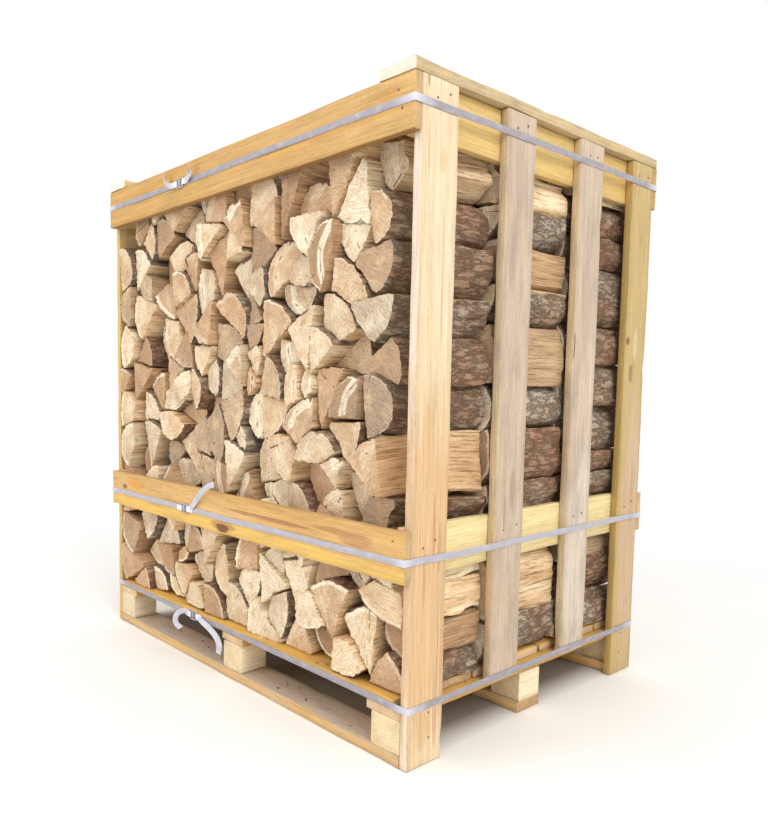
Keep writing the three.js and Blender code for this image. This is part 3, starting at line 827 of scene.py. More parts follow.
def log_mesh(rng, piece, front, back, stations, facet, splay, thick_back):
    """One split piece as points, faces, face kinds and marks: sawn end 0, split face 1, bark 2."""
    outline, bark, pith, turn = piece
    # Cut the outline's edges down to facets, keeping its corners.
    ring, is_bark = [], []
    for (a, b), flag in zip(np.stack([outline, np.roll(outline, -1, axis=0)], 1), bark):
        n = max(1, int(round(np.linalg.norm(b - a) / facet)))
        for i in range(n):
            ring.append(a + (b - a) * i / n)
            is_bark.append(flag)
    ring, is_bark = np.array(ring), np.array(is_bark)
    n = len(ring)
    out = outward(ring)
    around = np.cumsum(np.linalg.norm(np.roll(ring, -1, axis=0) - ring, axis=1))
    barky = (is_bark.astype(float) + np.roll(is_bark, 1)) / 2
    centre = ring.mean(axis=0)
    # Fibres torn by the splitting run the whole length; bark is furrowed into short plates.
    fibre = rng.normal(0, FIBRE_DEEP, n)
    depth = back - front
    lean = rng.normal(0, LOG_LEAN, 2)
    bow = rng.normal(0, LOG_BOW, 2)
    twist = rng.normal(0, LOG_TWIST)
    taper = min(LOG_TAPER_MOST, abs(rng.normal(0, LOG_TAPER)))
    taper_back = (rng.random() < 0.75) != thick_back
    tilt = rng.normal(0, END_TILT, 2)
    bevel = CUT_BEVEL_LONG / depth
    places = np.concatenate([[0, bevel], np.linspace(0, 1, stations + 1)[1:-1], [1 - bevel, 1]])
    m = len(places)
    plates = rng.normal(0, 1, (m, n))
    plates = (plates + np.roll(plates, 1, axis=1) + np.roll(plates, 1, axis=0)) / 1.7
    layers, marks = [], []
    cosine, sine = math.cos(turn), math.sin(turn)
    start = rng.uniform(0, 40)
    for j, t in enumerate(places):
        wave = wander(rng, around, 0.06, 0.0012)
        fibre = fibre * 0.93 + rng.normal(0, 0.0003, n)
        relief = BARK_RELIEF if 1 < j < m - 2 else BARK_RELIEF_AT_END
        bulge = np.where(barky > 0, plates[j] * relief + wave - BARK_SUNK, fibre + wave - FACE_SUNK)
        shape = ring + out * bulge[:, None]
        if j in (0, m - 1):
            shape = shape - out * CUT_BEVEL
        angle = twist * (t - 0.5)
        thin = 1 - taper * (t if taper_back else 1 - t)
        spun = thin * (shape - centre) @ np.array([[math.cos(angle), math.sin(angle)],
                                                   [-math.sin(angle), math.cos(angle)]]) + centre
        spun = spun + lean * (t - 0.5) + bow * 4 * t * (1 - t)
        spun[:, 0] -= splay * (1 - t) * spun[:, 0] / STACK_WIDTH
        slant = ((shape - centre) @ tilt) * (1 if t < 0.5 else -0.6)
        slant = slant * max(0.0, 1 - 6 * min(t, 1 - t))
        if j in (0, m - 1):
            slant = slant + rng.normal(0, SAW_ROUGH, n)
        layers.append(np.c_[spun[:, 0], front + depth * t + slant, spun[:, 1]])
        local = shape - pith
        marks.append(np.c_[local @ np.array([cosine, sine]), local @ np.array([-sine, cosine]),
                           np.full(n, depth * t + start)])
    points, grain = list(layers), list(marks)
    rims = [np.where(barky > 0, 0.0, NO_BARK)] * m
    faces, kinds = [], []
    for j in range(m - 1):
        for i in range(n):
            k = (i + 1) % n
            faces.append((j * n + i, (j + 1) * n + i, (j + 1) * n + k, j * n + k))
            kinds.append(2 if is_bark[i] else 1)
    bark_edges = np.stack([ring, np.roll(ring, -1, axis=0)], 1)[is_bark]
    count = m * n
    for end, j in ((0, 0), (1, m - 1)):
        outer = j * n + np.arange(n)
        base, mark = layers[j], marks[j]
        mid_point, mid_mark = base.mean(axis=0), mark.mean(axis=0)
        for share in (0.88, 0.5):
            inner = mid_point + (base - mid_point) * share
            inner_mark = mid_mark + (mark - mid_mark) * share
            points.append(inner)
            grain.append(inner_mark)
            flat = inner[:, [0, 2]]
            rims.append(clearance(flat, bark_edges) if len(bark_edges) else np.full(n, NO_BARK))
            here = count + np.arange(n)
            for i in range(n):
                k = (i + 1) % n
                quad = (outer[i], outer[k], here[k], here[i])
                faces.append(quad if end == 0 else quad[::-1])
                kinds.append(0)
            outer = here
            count += n
        points.append(mid_point[None])
        grain.append(mid_mark[None])
        middle = mid_point[None, [0, 2]]
        rims.append(clearance(middle, bark_edges) if len(bark_edges) else np.full(1, NO_BARK))
        for i in range(n):
            k = (i + 1) % n
            triangle = (outer[i], outer[k], count)
            faces.append(triangle if end == 0 else triangle[::-1])
            kinds.append(0)
        count += 1
    return np.concatenate(points), faces, kinds, np.concatenate(grain), np.concatenate(rims)


def sawn_end(tree, at, apart, own, bright, warm, heart, grit):
    """A sawn log end: rings, rays, hair cracks, a pale sapwood rim and fibre torn by the saw."""
    # Growth rings of uneven strength, 3 to 6 mm apart, bent a few millimetres.
    flat = node(tree, "VectorMath", {0: at, 1: (1.0, 1.0, 0.0)}, operation="MULTIPLY")
    out = node(tree, "VectorMath", {0: flat}, operation="LENGTH", out="Value")
    bend = node(tree, "TexNoise", {"Vector": apart, "Scale": 24.0, "Detail": 3.0})
    bent = node(tree, "Math", {0: bend, 1: 0.016, 2: out}, operation="MULTIPLY_ADD")
    years = node(tree, "Math", {0: bent, 1: 210.0, 2: bright}, operation="MULTIPLY_ADD")
    ring = node(tree, "TexNoise", {"W": years, "Scale": 1.0, "Detail": 3.0, "Roughness": 0.6},
                noise_dimensions="1D")
    rings = node(tree, "MapRange", {"Value": ring, "From Min": 0.50, "From Max": 0.74,
                                    "To Max": 0.32})
    wide = node(tree, "TexNoise", {"Vector": apart, "Scale": 16.0, "Detail": 4.0, "Roughness": 0.6})
    # Rays run out from the middle; a few hair cracks follow them part of the way.
    spokes = node(tree, "VectorMath", {0: flat}, operation="NORMALIZE")
    spokes = node(tree, "VectorMath", {0: own, 1: (7.0, 11.0, 13.0), 2: spokes},
                  operation="MULTIPLY_ADD")
    ray = node(tree, "TexNoise", {"Vector": spokes, "Scale": 30.0, "Detail": 3.0, "Roughness": 0.7})
    check = node(tree, "TexNoise", {"Vector": spokes, "Scale": 8.0, "Detail": 1.0})
    check = node(tree, "MapRange", {"Value": check, "From Min": 0.72, "From Max": 0.75})
    stops_at = node(tree, "TexNoise", {"Vector": apart, "Scale": 38.0, "Detail": 1.0})
    stops_at = node(tree, "MapRange", {"Value": stops_at, "From Min": 0.50, "From Max": 0.56})
    crack = node(tree, "Math", {0: check, 1: stops_at}, operation="MULTIPLY")
    # The saw tears the fibre in streaks 3 mm wide and 30 mm long, one way across each piece.
    way = node(tree, "Math", {0: warm, 1: 1.3, 2: bright}, operation="MULTIPLY_ADD")
    torn_at = node(tree, "VectorRotate", {"Vector": apart, "Angle": way})
    torn_at = node(tree, "VectorMath", {0: torn_at, 1: (34.0, 360.0, 0.0)}, operation="MULTIPLY")
    torn = node(tree, "TexNoise", {"Vector": torn_at, "Scale": 1.0, "Detail": 3.0,
                                   "Roughness": 0.65})
    hue = node(tree, "Math", {0: warm, 1: 0.30, 2: wide}, operation="MULTIPLY_ADD")
    base = node(tree, "ValToRGB", {0: hue},
                stops=((0.15, "#e0cfb3"), (0.42, "#d3ba98"), (0.62, "#c2a180"), (0.90, "#aa8a6b")))
    # Heartwood is browner towards the middle on some pieces, and stained orange in places.
    deep = node(tree, "MapRange", {"Value": bent, "From Min": 0.085, "From Max": 0.02})
    deep = node(tree, "Math", {0: deep, 1: heart}, operation="MULTIPLY")
    deep = node(tree, "Math", {0: deep, 1: 0.5}, operation="MULTIPLY")
    body = node(tree, "MixRGB", {"Fac": deep, "Color1": base, "Color2": linear("#a87a52")})
    blot = node(tree, "TexNoise", {"Vector": apart, "Scale": 33.0, "Detail": 3.0})
    blot = node(tree, "MapRange", {"Value": blot, "From Min": 0.55, "From Max": 0.75,
                                   "To Max": 0.6})
    body = node(tree, "MixRGB", {"Fac": blot, "Color1": body, "Color2": linear("#b78a5c")})
    # Sapwood: a clear pale rim, 16 to 20 mm wide, under the bark on about half of the pieces, and a
    # faint one on the rest.
    rim = node(tree, "Attribute", attribute_name="rim", out="Fac")
    rim = node(tree, "Math", {0: wide, 1: 0.012, 2: rim}, operation="MULTIPLY_ADD")
    sap = node(tree, "MapRange", {"Value": rim, "From Min": 0.020, "From Max": 0.0155})
    clear = node(tree, "Math", {0: way, 1: 4.0}, operation="MULTIPLY")
    clear = node(tree, "Math", {0: clear}, operation="SINE")
    clear = node(tree, "MapRange", {"Value": clear, "From Min": -0.1, "From Max": 0.6,
                                    "To Min": 0.3, "To Max": 0.9})
    sap = node(tree, "Math", {0: sap, 1: clear}, operation="MULTIPLY")
    body = node(tree, "MixRGB", {"Fac": sap, "Color1": body, "Color2": linear("#ecdec3")})
    body = node(tree, "MixRGB", {"Fac": rings, "Color1": body, "Color2": linear("#9a7350")})
    # Weather and dust turn some ends grey.
    dust = node(tree, "MapRange", {"Value": wide, "From Min": 0.40, "From Max": 0.62})
    old = node(tree, "MapRange", {"Value": bright, "From Min": 0.2, "From Max": -1.3})
    old = node(tree, "Math", {0: old, 1: dust}, operation="MULTIPLY")
    old = node(tree, "Math", {0: old, 1: 0.6}, operation="MULTIPLY")
    body = node(tree, "MixRGB", {"Fac": old, "Color1": body, "Color2": linear("#a99884")})
    body = node(tree, "MixRGB", {"Fac": crack, "Color1": body, "Color2": linear("#6b4f39")})
    skin = node(tree, "MapRange", {"Value": rim, "From Min": 0.0085, "From Max": 0.0065})
    body = node(tree, "MixRGB", {"Fac": skin, "Color1": body, "Color2": linear("#7d5f4a")})
    light = node(tree, "Math", {0: ray, 1: 0.30, 2: -0.63}, operation="MULTIPLY_ADD")
    light = node(tree, "Math", {0: torn, 1: 1.4, 2: light}, operation="MULTIPLY_ADD")
    light = node(tree, "Math", {0: grit, 1: 1.65, 2: light}, operation="MULTIPLY_ADD")
    height = node(tree, "Math", {0: torn, 1: 1.0, 2: grit}, operation="MULTIPLY_ADD")
    height = node(tree, "Math", {0: crack, 1: -2.0, 2: height}, operation="MULTIPLY_ADD")
    return body, light, height


def split_face(tree, at, apart, own, bright, warm, heart, grit):
    """A split log face, torn along the fibre, clean and pale in places and dark where it is ragged."""
    # Torn fibre: long streaks 2 to 3 mm wide with a ragged, slightly stepped surface.
    long_way = node(tree, "VectorMath", {0: apart, 1: (250.0, 250.0, 11.0)}, operation="MULTIPLY")
    streak = node(tree, "TexNoise", {"Vector": long_way, "Scale": 1.0, "Detail": 4.0,
                                     "Roughness": 0.65})
    broad_way = node(tree, "VectorMath", {0: apart, 1: (45.0, 45.0, 7.0)}, operation="MULTIPLY")
    broad = node(tree, "TexNoise", {"Vector": broad_way, "Scale": 1.0, "Detail": 3.0})
    hue = node(tree, "Math", {0: warm, 1: 0.26, 2: broad}, operation="MULTIPLY_ADD")
    base = node(tree, "ValToRGB", {0: hue},
                stops=((0.15, "#ebd8b4"), (0.42, "#dcbc91"), (0.62, "#c9a276"), (0.90, "#a98664")))
    dark = node(tree, "MapRange", {"Value": streak, "From Min": 0.52, "From Max": 0.63, "To Max": 0.8})
    body = node(tree, "MixRGB", {"Fac": dark, "Color1": base, "Color2": linear("#775439")})
    clean = node(tree, "MapRange", {"Value": streak, "From Min": 0.42, "From Max": 0.30, "To Max": 0.5})
    body = node(tree, "MixRGB", {"Fac": clean, "Color1": body, "Color2": linear("#ecdcbb")})
    old = node(tree, "MapRange", {"Value": bright, "From Min": 0.0, "From Max": -1.5, "To Max": 0.5})
    body = node(tree, "MixRGB", {"Fac": old, "Color1": body, "Color2": linear("#a39179")})
    light = node(tree, "Math", {0: grit, 1: 1.0, 2: 0.52}, operation="MULTIPLY_ADD")
    height = node(tree, "Math", {0: broad, 1: 0.6, 2: streak}, operation="MULTIPLY_ADD")
    return body, light, height


def bark_plates(tree, at, apart, own, bright, warm, heart, grit):
    """Bark in ragged plates between furrows, with lichen."""
    # Bark: ragged plates, 60 mm long and 20 mm wide, between furrows; grey outside, red-brown
    # within.
    plate_way = node(tree, "VectorMath", {0: apart, 1: (50.0, 50.0, 17.0)}, operation="MULTIPLY")
    rag = node(tree, "TexNoise", {"Vector": plate_way, "Scale": 2.2, "Detail": 5.0,
                                  "Roughness": 0.65}, out="Color")
    ragged = node(tree, "VectorMath", {0: rag, 1: (1.9, 1.9, 1.9), 2: plate_way},
                  operation="MULTIPLY_ADD")
    plates = node(tree, "TexVoronoi", {"Vector": ragged, "Scale": 1.0}, feature="DISTANCE_TO_EDGE")
    furrow = node(tree, "MapRange", {"Value": plates, "From Min": 0.0, "From Max": 0.24})
    wide = node(tree, "TexNoise", {"Vector": apart, "Scale": 11.0, "Detail": 5.0, "Roughness": 0.62})
    hue = node(tree, "Math", {0: warm, 1: 0.08, 2: wide}, operation="MULTIPLY_ADD")
    base = node(tree, "ValToRGB", {0: hue},
                stops=((0.30, "#a89e8c"), (0.43, "#a08d77"), (0.54, "#957a62"), (0.65, "#977059"),
                       (0.78, "#7d5f4a")))
    lichen = node(tree, "TexNoise", {"Vector": apart, "Scale": 120.0, "Detail": 5.0,
                                     "Roughness": 0.7})
    lichen = node(tree, "MapRange", {"Value": lichen, "From Min": 0.54, "From Max": 0.70,
                                     "To Max": 0.35})
    body = node(tree, "MixRGB", {"Fac": lichen, "Color1": base, "Color2": linear("#beb3a2")})
    inner = node(tree, "MapRange", {"Value": furrow, "From Min": 1.0, "From Max": 0.0,
                                    "To Max": 0.8})
    body = node(tree, "MixRGB", {"Fac": inner, "Color1": body, "Color2": linear("#4c3829")})
    light = node(tree, "Math", {0: grit, 1: 2.05, 2: 0.27}, operation="MULTIPLY_ADD")
    height = node(tree, "Math", {0: furrow, 1: 0.8, 2: grit}, operation="MULTIPLY_ADD")
    height = node(tree, "Math", {0: wide, 1: 1.6, 2: height}, operation="MULTIPLY_ADD")
    return body, light, height


def log_finish(name, pattern, bump_mm, rough):
    """A finish of the split logs, tinted piece by piece; its pattern gives colour, light and height."""
    material, tree = new_material(name)
    at = node(tree, "Attribute", attribute_name="grain", out="Vector")
    tone = node(tree, "Attribute", attribute_name="tone", out="Vector")
    bright, warm, heart = node(tree, "SeparateXYZ", {0: tone}, out=None)
    own = node(tree, "CombineXYZ", {0: bright, 1: warm, 2: heart})
    apart = node(tree, "VectorMath", {0: own, 1: (17.0, 31.0, 47.0), 2: at}, operation="MULTIPLY_ADD")
    # The same grit, about 3 mm across, roughens every finish.
    grit = node(tree, "TexNoise", {"Vector": apart, "Scale": 330.0, "Detail": 3.0, "Roughness": 0.75})
    body, light, height = pattern(tree, at, apart, own, bright, warm, heart, grit)
    lit = node(tree, "Math", {0: bright, 1: 0.06, 2: light}, operation="MULTIPLY_ADD")
    colour = node(tree, "VectorMath", {0: body, "Scale": lit}, operation="SCALE")
    bump = node(tree, "Bump", {"Strength": 0.7, "Distance": bump_mm / 1000, "Height": height})
    surface = node(tree, "BsdfPrincipled", {"Base Color": colour, "Roughness": rough, "Normal": bump,
                                            "IOR": 1.5, "Specular IOR Level": 0.25})
    node(tree, "OutputMaterial", {"Surface": surface})
    return material


# The front row's splay comes in over this much height, and its lowest logs are paler.
SPLAY_FROM = 0.27
SPLAY_OVER = 0.12
PALER_BELOW = 0.33
# How far a log's ends may stand back from the row's, and how far some stand out, beside the posts.
FRONT_IN_MOST = 0.058
BACK_IN_MOST = 0.030
BACK_PROUD = 0.010
LEFT_PROUD = 0.008
BY_RIGHT_WALL = 0.10
BY_LEFT_WALL = 0.03


def firewood_row(name, cad, laid, rng, bands, stations, facet, inset_front, inset_back, at_wall=0.0,
                 splay=0.0):
    """A row's split pieces as one mesh for each band of height.

    Its pieces above the middle rails can be splayed, their front ends drawn to the left by up to splay.
    at_wall is how far those beside the right wall reach out at the back, where they keep their thickness.
    """
    low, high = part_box(cad)
    gathered = [[] for _ in bands]
    for piece in laid:
        height = piece[0][:, 1].mean()
        index = sum(height > top for top in bands[:-1])
        front = low[1] + min(FRONT_IN_MOST, abs(rng.normal(0, inset_front)))
        back = high[1] + BACK_PROUD - min(BACK_IN_MOST, abs(rng.normal(0, inset_back)))
        if piece[0][:, 0].max() > STACK_WIDTH - BY_RIGHT_WALL:
            back = max(back, high[1] + at_wall)
        if splay and piece[0][:, 0].min() < BY_LEFT_WALL:
            front = low[1] - LEFT_PROUD
        above = min(1.0, max(0.0, (height - SPLAY_FROM) / SPLAY_OVER))
        made = log_mesh(rng, piece, front, back, stations, facet, splay * above, at_wall > 0)
        paler = 0.8 if height < PALER_BELOW else 0.0
        tone = [rng.normal(paler, 1), rng.normal(-0.4 * paler, 0.8), max(0.0, rng.normal(0.3, 0.5))]
        tone = np.tile(tone, (len(made[0]), 1))
        gathered[index].append((*made, tone))
    for number, group in enumerate(gathered):
        points, faces, kinds, grain, rim, tone = [], [], [], [], [], []
        count = 0
        for own_points, own_faces, own_kinds, own_grain, own_rim, own_tone in group:
            points.append(own_points + np.array([STACK_LEFT, 0.0, STACK_FOOT]))
            faces += [tuple(int(i) + count for i in face) for face in own_faces]
            kinds += own_kinds
            grain.append(own_grain)
            rim.append(own_rim)
            tone.append(own_tone)
            count += len(own_points)
        row = solid(f"{name}_{number + 1}", np.concatenate(points), faces,
                    {"grain": np.concatenate(grain), "rim": np.concatenate(rim),
                     "tone": np.concatenate(tone)},
                    firewood_materials, kinds, sharp_deg=50)
        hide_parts(cad)
        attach(row, "root")


firewood_materials = [
    log_finish("sawn_hardwood_end", sawn_end, 1.6, 0.85),
    log_finish("split_hardwood_face", split_face, 4.0, 0.85),
    log_finish("hardwood_bark", bark_plates, 4.0, 0.95),
]
# The front row has a stack of its own. The other two share one, turned over for the middle row.
rng = np.random.default_rng(3)
front_stack = lean_on_posts(swell(lay_stack(rng), 0.0038), rng)
rng = np.random.default_rng(17)
other_stack = lean_on_posts(swell(lay_stack(rng), 0.0038), rng)
turned_over = [[np.c_[STACK_WIDTH - p[0][:, 0], p[0][:, 1]][::-1], np.roll(p[1][::-1], -1),
                np.array([STACK_WIDTH - p[2][0], p[2][1]]), math.pi - p[3]] for p in other_stack]
rng = np.random.default_rng(11)
firewood_row("firewood_front", "log_row_front", front_stack, rng, (0.42, 0.87, 9.0), 11, 0.0070,
             0.025, 0.010, splay=0.056)
firewood_row("firewood_middle", "log_row_middle", turned_over, rng, (9.0,), 5, 0.0095, 0.010, 0.010)
firewood_row("firewood_back", "log_row_back", other_stack, rng, (0.6, 9.0), 8, 0.0085, 0.010, 0.006, 0.055)


# Nails. Steel heads 6 mm across, driven nearly flush: two where a band crosses a post, and in every place
# where a post, slat or cap is fixed to a rail.
NAIL_HEAD = 0.0029
NAIL_PROUD = 0.0005

nail_steel, tree = new_material("driven_steel_nail_head")
at = node(tree, "TexCoord", out="Object")
rust = node(tree, "TexNoise", {"Vector": at, "Scale": 240.0, "Detail": 3.0})
tint = node(tree, "ValToRGB", {0: rust}, stops=((0.35, "#8b7f76"), (0.55, "#76665a"), (0.7, "#86583f")))
dull = node(tree, "MapRange", {"Value": rust, "To Min": 0.4, "To Max": 0.75})
dent = node(tree, "Bump", {"Strength": 0.5, "Distance": 0.0004, "Height": rust})
steel = node(tree, "BsdfPrincipled", {"Base Color": tint, "Metallic": 0.8, "Roughness": dull,
                                      "Normal": dent})
node(tree, "OutputMaterial", {"Surface": steel})

nail_points, nail_faces = [], []
rng = np.random.default_rng(31)


def drive_nail(place, facing):
    """A domed head at a place on a face, lying a little out of true."""
    normal = Vector(facing) + Vector(rng.normal(0, 0.05, 3))
    turn = normal.to_track_quat("Z", "Y")
    base = len(nail_points)
    for share, lift in ((1.0, -0.0012), (1.0, 0.0), (0.72, NAIL_PROUD)):
        for k in range(12):
            a = k * math.pi / 6
            ring_at = Vector((NAIL_HEAD * share * math.cos(a), NAIL_HEAD * share * math.sin(a), lift))
            nail_points.append(Vector(place) + turn @ ring_at)
    nail_points.append(Vector(place) + turn @ Vector((0, 0, NAIL_PROUD * 1.2)))
    for ring in (0, 1):
        a, b = base + ring * 12, base + ring * 12 + 12
        nail_faces.extend((a + k, a + (k + 1) % 12, b + (k + 1) % 12, b + k) for k in range(12))
    nail_faces.extend((base + 24 + k, base + 24 + (k + 1) % 12, base + 36) for k in range(12))


for face, facing in (("front", -1), ("back", 1)):
    for level in ("top", "middle"):
        low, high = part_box(f"band_{level}_{face}")
        for end in (-1, 1):
            for height in (0.36, 0.77):
                x = end * (0.652 + rng.uniform(-0.012, 0.012))
                z = low.z + (high.z - low.z) * (height + rng.uniform(-0.06, 0.06))
                drive_nail((x, low.y if facing < 0 else high.y, z), (0, facing, 0))
for end, side_name in ((-1, "left"), (1, "right")):
    for level in ("top", "middle"):
        rail_low, rail_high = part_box(f"rail_{level}_{side_name}")
        for upright in (f"post_{side_name}_front", f"post_{side_name}_back", f"slat_{side_name}_1",
                        f"slat_{side_name}_2"):
            low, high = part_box(upright)
            for share, height in ((0.36, 0.66), (0.72, 0.74)):
                y = low.y + (high.y - low.y) * (share + rng.uniform(-0.07, 0.07))
                z = rail_low.z + (rail_high.z - rail_low.z) * (height + rng.uniform(-0.05, 0.05))
                drive_nail((low.x if end < 0 else high.x, y, z), (end, 0, 0))
    for row, y in (("front", -0.424), ("back", 0.430)):
        for z in (0.118, 0.060):
            drive_nail((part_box(f"post_{side_name}_{row}")[end > 0].x, y + rng.uniform(-0.008, 0.008), z),
                       (end, 0, 0))
    low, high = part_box("cap_" + side_name)
    for y in (-0.47, -0.435, -0.15, 0.16, 0.44, 0.475):
        drive_nail((low.x + (high.x - low.x) * rng.uniform(0.3, 0.75), y + rng.uniform(-0.01, 0.01),
                    high.z),
                   (0, 0, 1))
nails = solid("nail_heads", nail_points, nail_faces, materials=[nail_steel])
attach(nails, "root")


# Strapping. White composite strap, 16 mm wide: close lengthwise cords of polyester in a thin clear coat.
# Three loops are pulled tight round the crate, and their loose ends stand out from the buckles.
STRAP_WIDE = 0.016
STRAP_THICK = 0.0009

strapping, tree = new_material("woven_composite_strapping")
at = node(tree, "Attribute", attribute_name="grain", out="Vector")
# Cords are about 0.7 mm apart; every third one is drawn so that they show.
cord_at = node(tree, "VectorMath", {0: at, 1: (25.0, 480.0, 1.0)}, operation="MULTIPLY")
cord = node(tree, "TexNoise", {"Vector": cord_at, "Scale": 1.0, "Detail": 2.0})
scuff_at = node(tree, "VectorMath", {0: at, 1: (30.0, 60.0, 1.0)}, operation="MULTIPLY")
scuff = node(tree, "TexNoise", {"Vector": scuff_at, "Scale": 1.0, "Detail": 4.0})
tint = node(tree, "ValToRGB", {0: scuff}, stops=((0.3, "#8f898f"), (0.55, "#9b959a"), (0.75, "#b1acae")))
# Where it is bent, scuffed or loose, its clear coat has gone white; near the crate's corners that white is
# partly a painted highlight.
white_coat_and_highlight = node(tree, "Attribute", attribute_name="white", out="Fac")
tint = node(tree, "MixRGB", {"Fac": white_coat_and_highlight, "Color1": tint, "Color2": linear("#e2e3ec")})
shade = node(tree, "MapRange", {"Value": cord, "From Min": 0.3, "From Max": 0.7, "To Min": 0.9,
                                "To Max": 1.04})
tint = node(tree, "VectorMath", {0: tint, "Scale": shade}, operation="SCALE")
ridge = node(tree, "Bump", {"Strength": 0.6, "Distance": 0.0004, "Height": cord})
dull = node(tree, "MapRange", {"Value": scuff, "To Min": 0.28, "To Max": 0.5})
coat = node(tree, "BsdfPrincipled", {"Base Color": tint, "Roughness": dull, "Normal": ridge, "IOR": 1.5,
                                     "Specular IOR Level": 0.5})
node(tree, "OutputMaterial", {"Surface": coat})


def ribbon(name, path, across, closed=False, wide=STRAP_WIDE, white=0.55):
    """A flat strap along a path; across gives the direction of its width at each point."""
    path, across = np.array(path, float), np.array(across, float)
    white = np.repeat(np.broadcast_to(white, len(path)), 10)
    n = len(path)
    if closed:
        run = np.roll(path, -1, axis=0) - np.roll(path, 1, axis=0)
    else:
        run = np.gradient(path, axis=0)
    run /= np.linalg.norm(run, axis=1)[:, None]
    across -= (across * run).sum(1)[:, None] * run
    across /= np.linalg.norm(across, axis=1)[:, None]
    out = np.cross(run, across)
    h, t = wide / 2, STRAP_THICK / 2
    section = [(-h, -t * 0.5), (-h + 0.0006, -t), (0, -t), (h - 0.0006, -t), (h, -t * 0.5),
               (h, t * 0.5), (h - 0.0006, t), (0, t), (-h + 0.0006, t), (-h, t * 0.5)]
    m = len(section)
    steps = np.linalg.norm(np.diff(path, axis=0, append=path[:1]), axis=1)
    along = np.concatenate([[0], np.cumsum(steps)[:-1]])
    points = np.concatenate([[path[j] + across[j] * a + out[j] * b for a, b in section] for j in range(n)])
    grain = np.concatenate([[(along[j], a, 0.0) for a, b in section] for j in range(n)])
    faces = []
    for j in range(n if closed else n - 1):
        a, b = j * m, ((j + 1) % n) * m
        faces += [(a + i, a + (i + 1) % m, b + (i + 1) % m, b + i) for i in range(m)]
    if not closed:
        faces += [tuple(range(m - 1, -1, -1)), tuple(range((n - 1) * m, n * m))]
    made = solid(name, points, faces, {"grain": grain, "white": white}, [strapping], sharp_deg=55)
    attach(made, "root")
    return made


def smooth_line(points, steps):
    """Points along a smooth curve through a few given ones."""
    points = np.array(points, float)
    padded = np.vstack([2 * points[0] - points[1], points, 2 * points[-1] - points[-2]])
    made = []
    for i in range(1, len(padded) - 2):
        p0, p1, p2, p3 = padded[i - 1:i + 3]
        for k in range(steps):
            t = k / steps
            made.append(0.5 * (2 * p1 + (p2 - p0) * t + (2 * p0 - 5 * p1 + 4 * p2 - p3) * t ** 2
                               + (3 * p1 - p0 - 3 * p2 + p3) * t ** 3))
    return np.array([*made, points[-1]])


for number, level in enumerate(("top", "middle", "bottom")):
    rng = np.random.default_rng(300 + number)
    low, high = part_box("strap_" + level)
    half_x, half_y = (high.x - low.x) / 2 - STRAP_THICK / 2, (high.y - low.y) / 2 - STRAP_THICK / 2
    mid_z = (low.z + high.z) / 2
    bend = 0.003
    path = []
    for cx, cy, start in ((1, -1, -90), (1, 1, 0), (-1, 1, 90), (-1, -1, 180)):
        corner = np.array([cx * (half_x - bend), cy * (half_y - bend)])
        for k in range(5):
            a = math.radians(start + 22.5 * k)
            path.append([*(corner + bend * np.array([math.cos(a), math.sin(a)])), mid_z])
        nxt = {(1, -1): (1, 1), (1, 1): (-1, 1), (-1, 1): (-1, -1), (-1, -1): (1, -1)}[(cx, cy)]
        a = math.radians(start + 90)
        goal = np.array([nxt[0] * (half_x - bend), nxt[1] * (half_y - bend)]) + bend * np.array(
            [math.cos(a), math.sin(a)])
        last = np.array(path[-1][:2])
        for t in np.linspace(0, 1, 48)[1:-1]:
            path.append([*(last + (goal - last) * t), mid_z])
    path = np.array(path)
    travelled = np.concatenate([[0], np.cumsum(np.linalg.norm(np.diff(path, axis=0), axis=1))])
    total = travelled[-1]
    path[:, 2] += (np.sin(travelled * 2 * np.pi * 5 / total + rng.uniform(0, 6)) * 0.0008
                   + np.sin(travelled * 2 * np.pi * 11 / total + rng.uniform(0, 6)) * 0.0006)
    across = np.tile([0.0, 0.0, 1.0], (len(path), 1))
    lean = np.sin(travelled * 2 * np.pi * 7 / total + rng.uniform(0, 6)) * 0.02
    across[:, :2] += (path[:, :2] / np.linalg.norm(path[:, :2], axis=1)[:, None]) * lean[:, None]
    # Near each corner of the crate the strap is whitened, partly as stress-whitened coat and partly as a
    # painted highlight.
    from_corner = np.hypot(half_x - np.abs(path[:, 0]), half_y - np.abs(path[:, 1]))
    loop = ribbon("composite_strap_" + level, path, across, closed=True,
                  white=np.maximum(0.25 if level == "middle" else 0.0,
                                   0.7 * np.clip(1 - from_corner / 0.06, 0, 1)))
    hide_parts("strap_" + level)

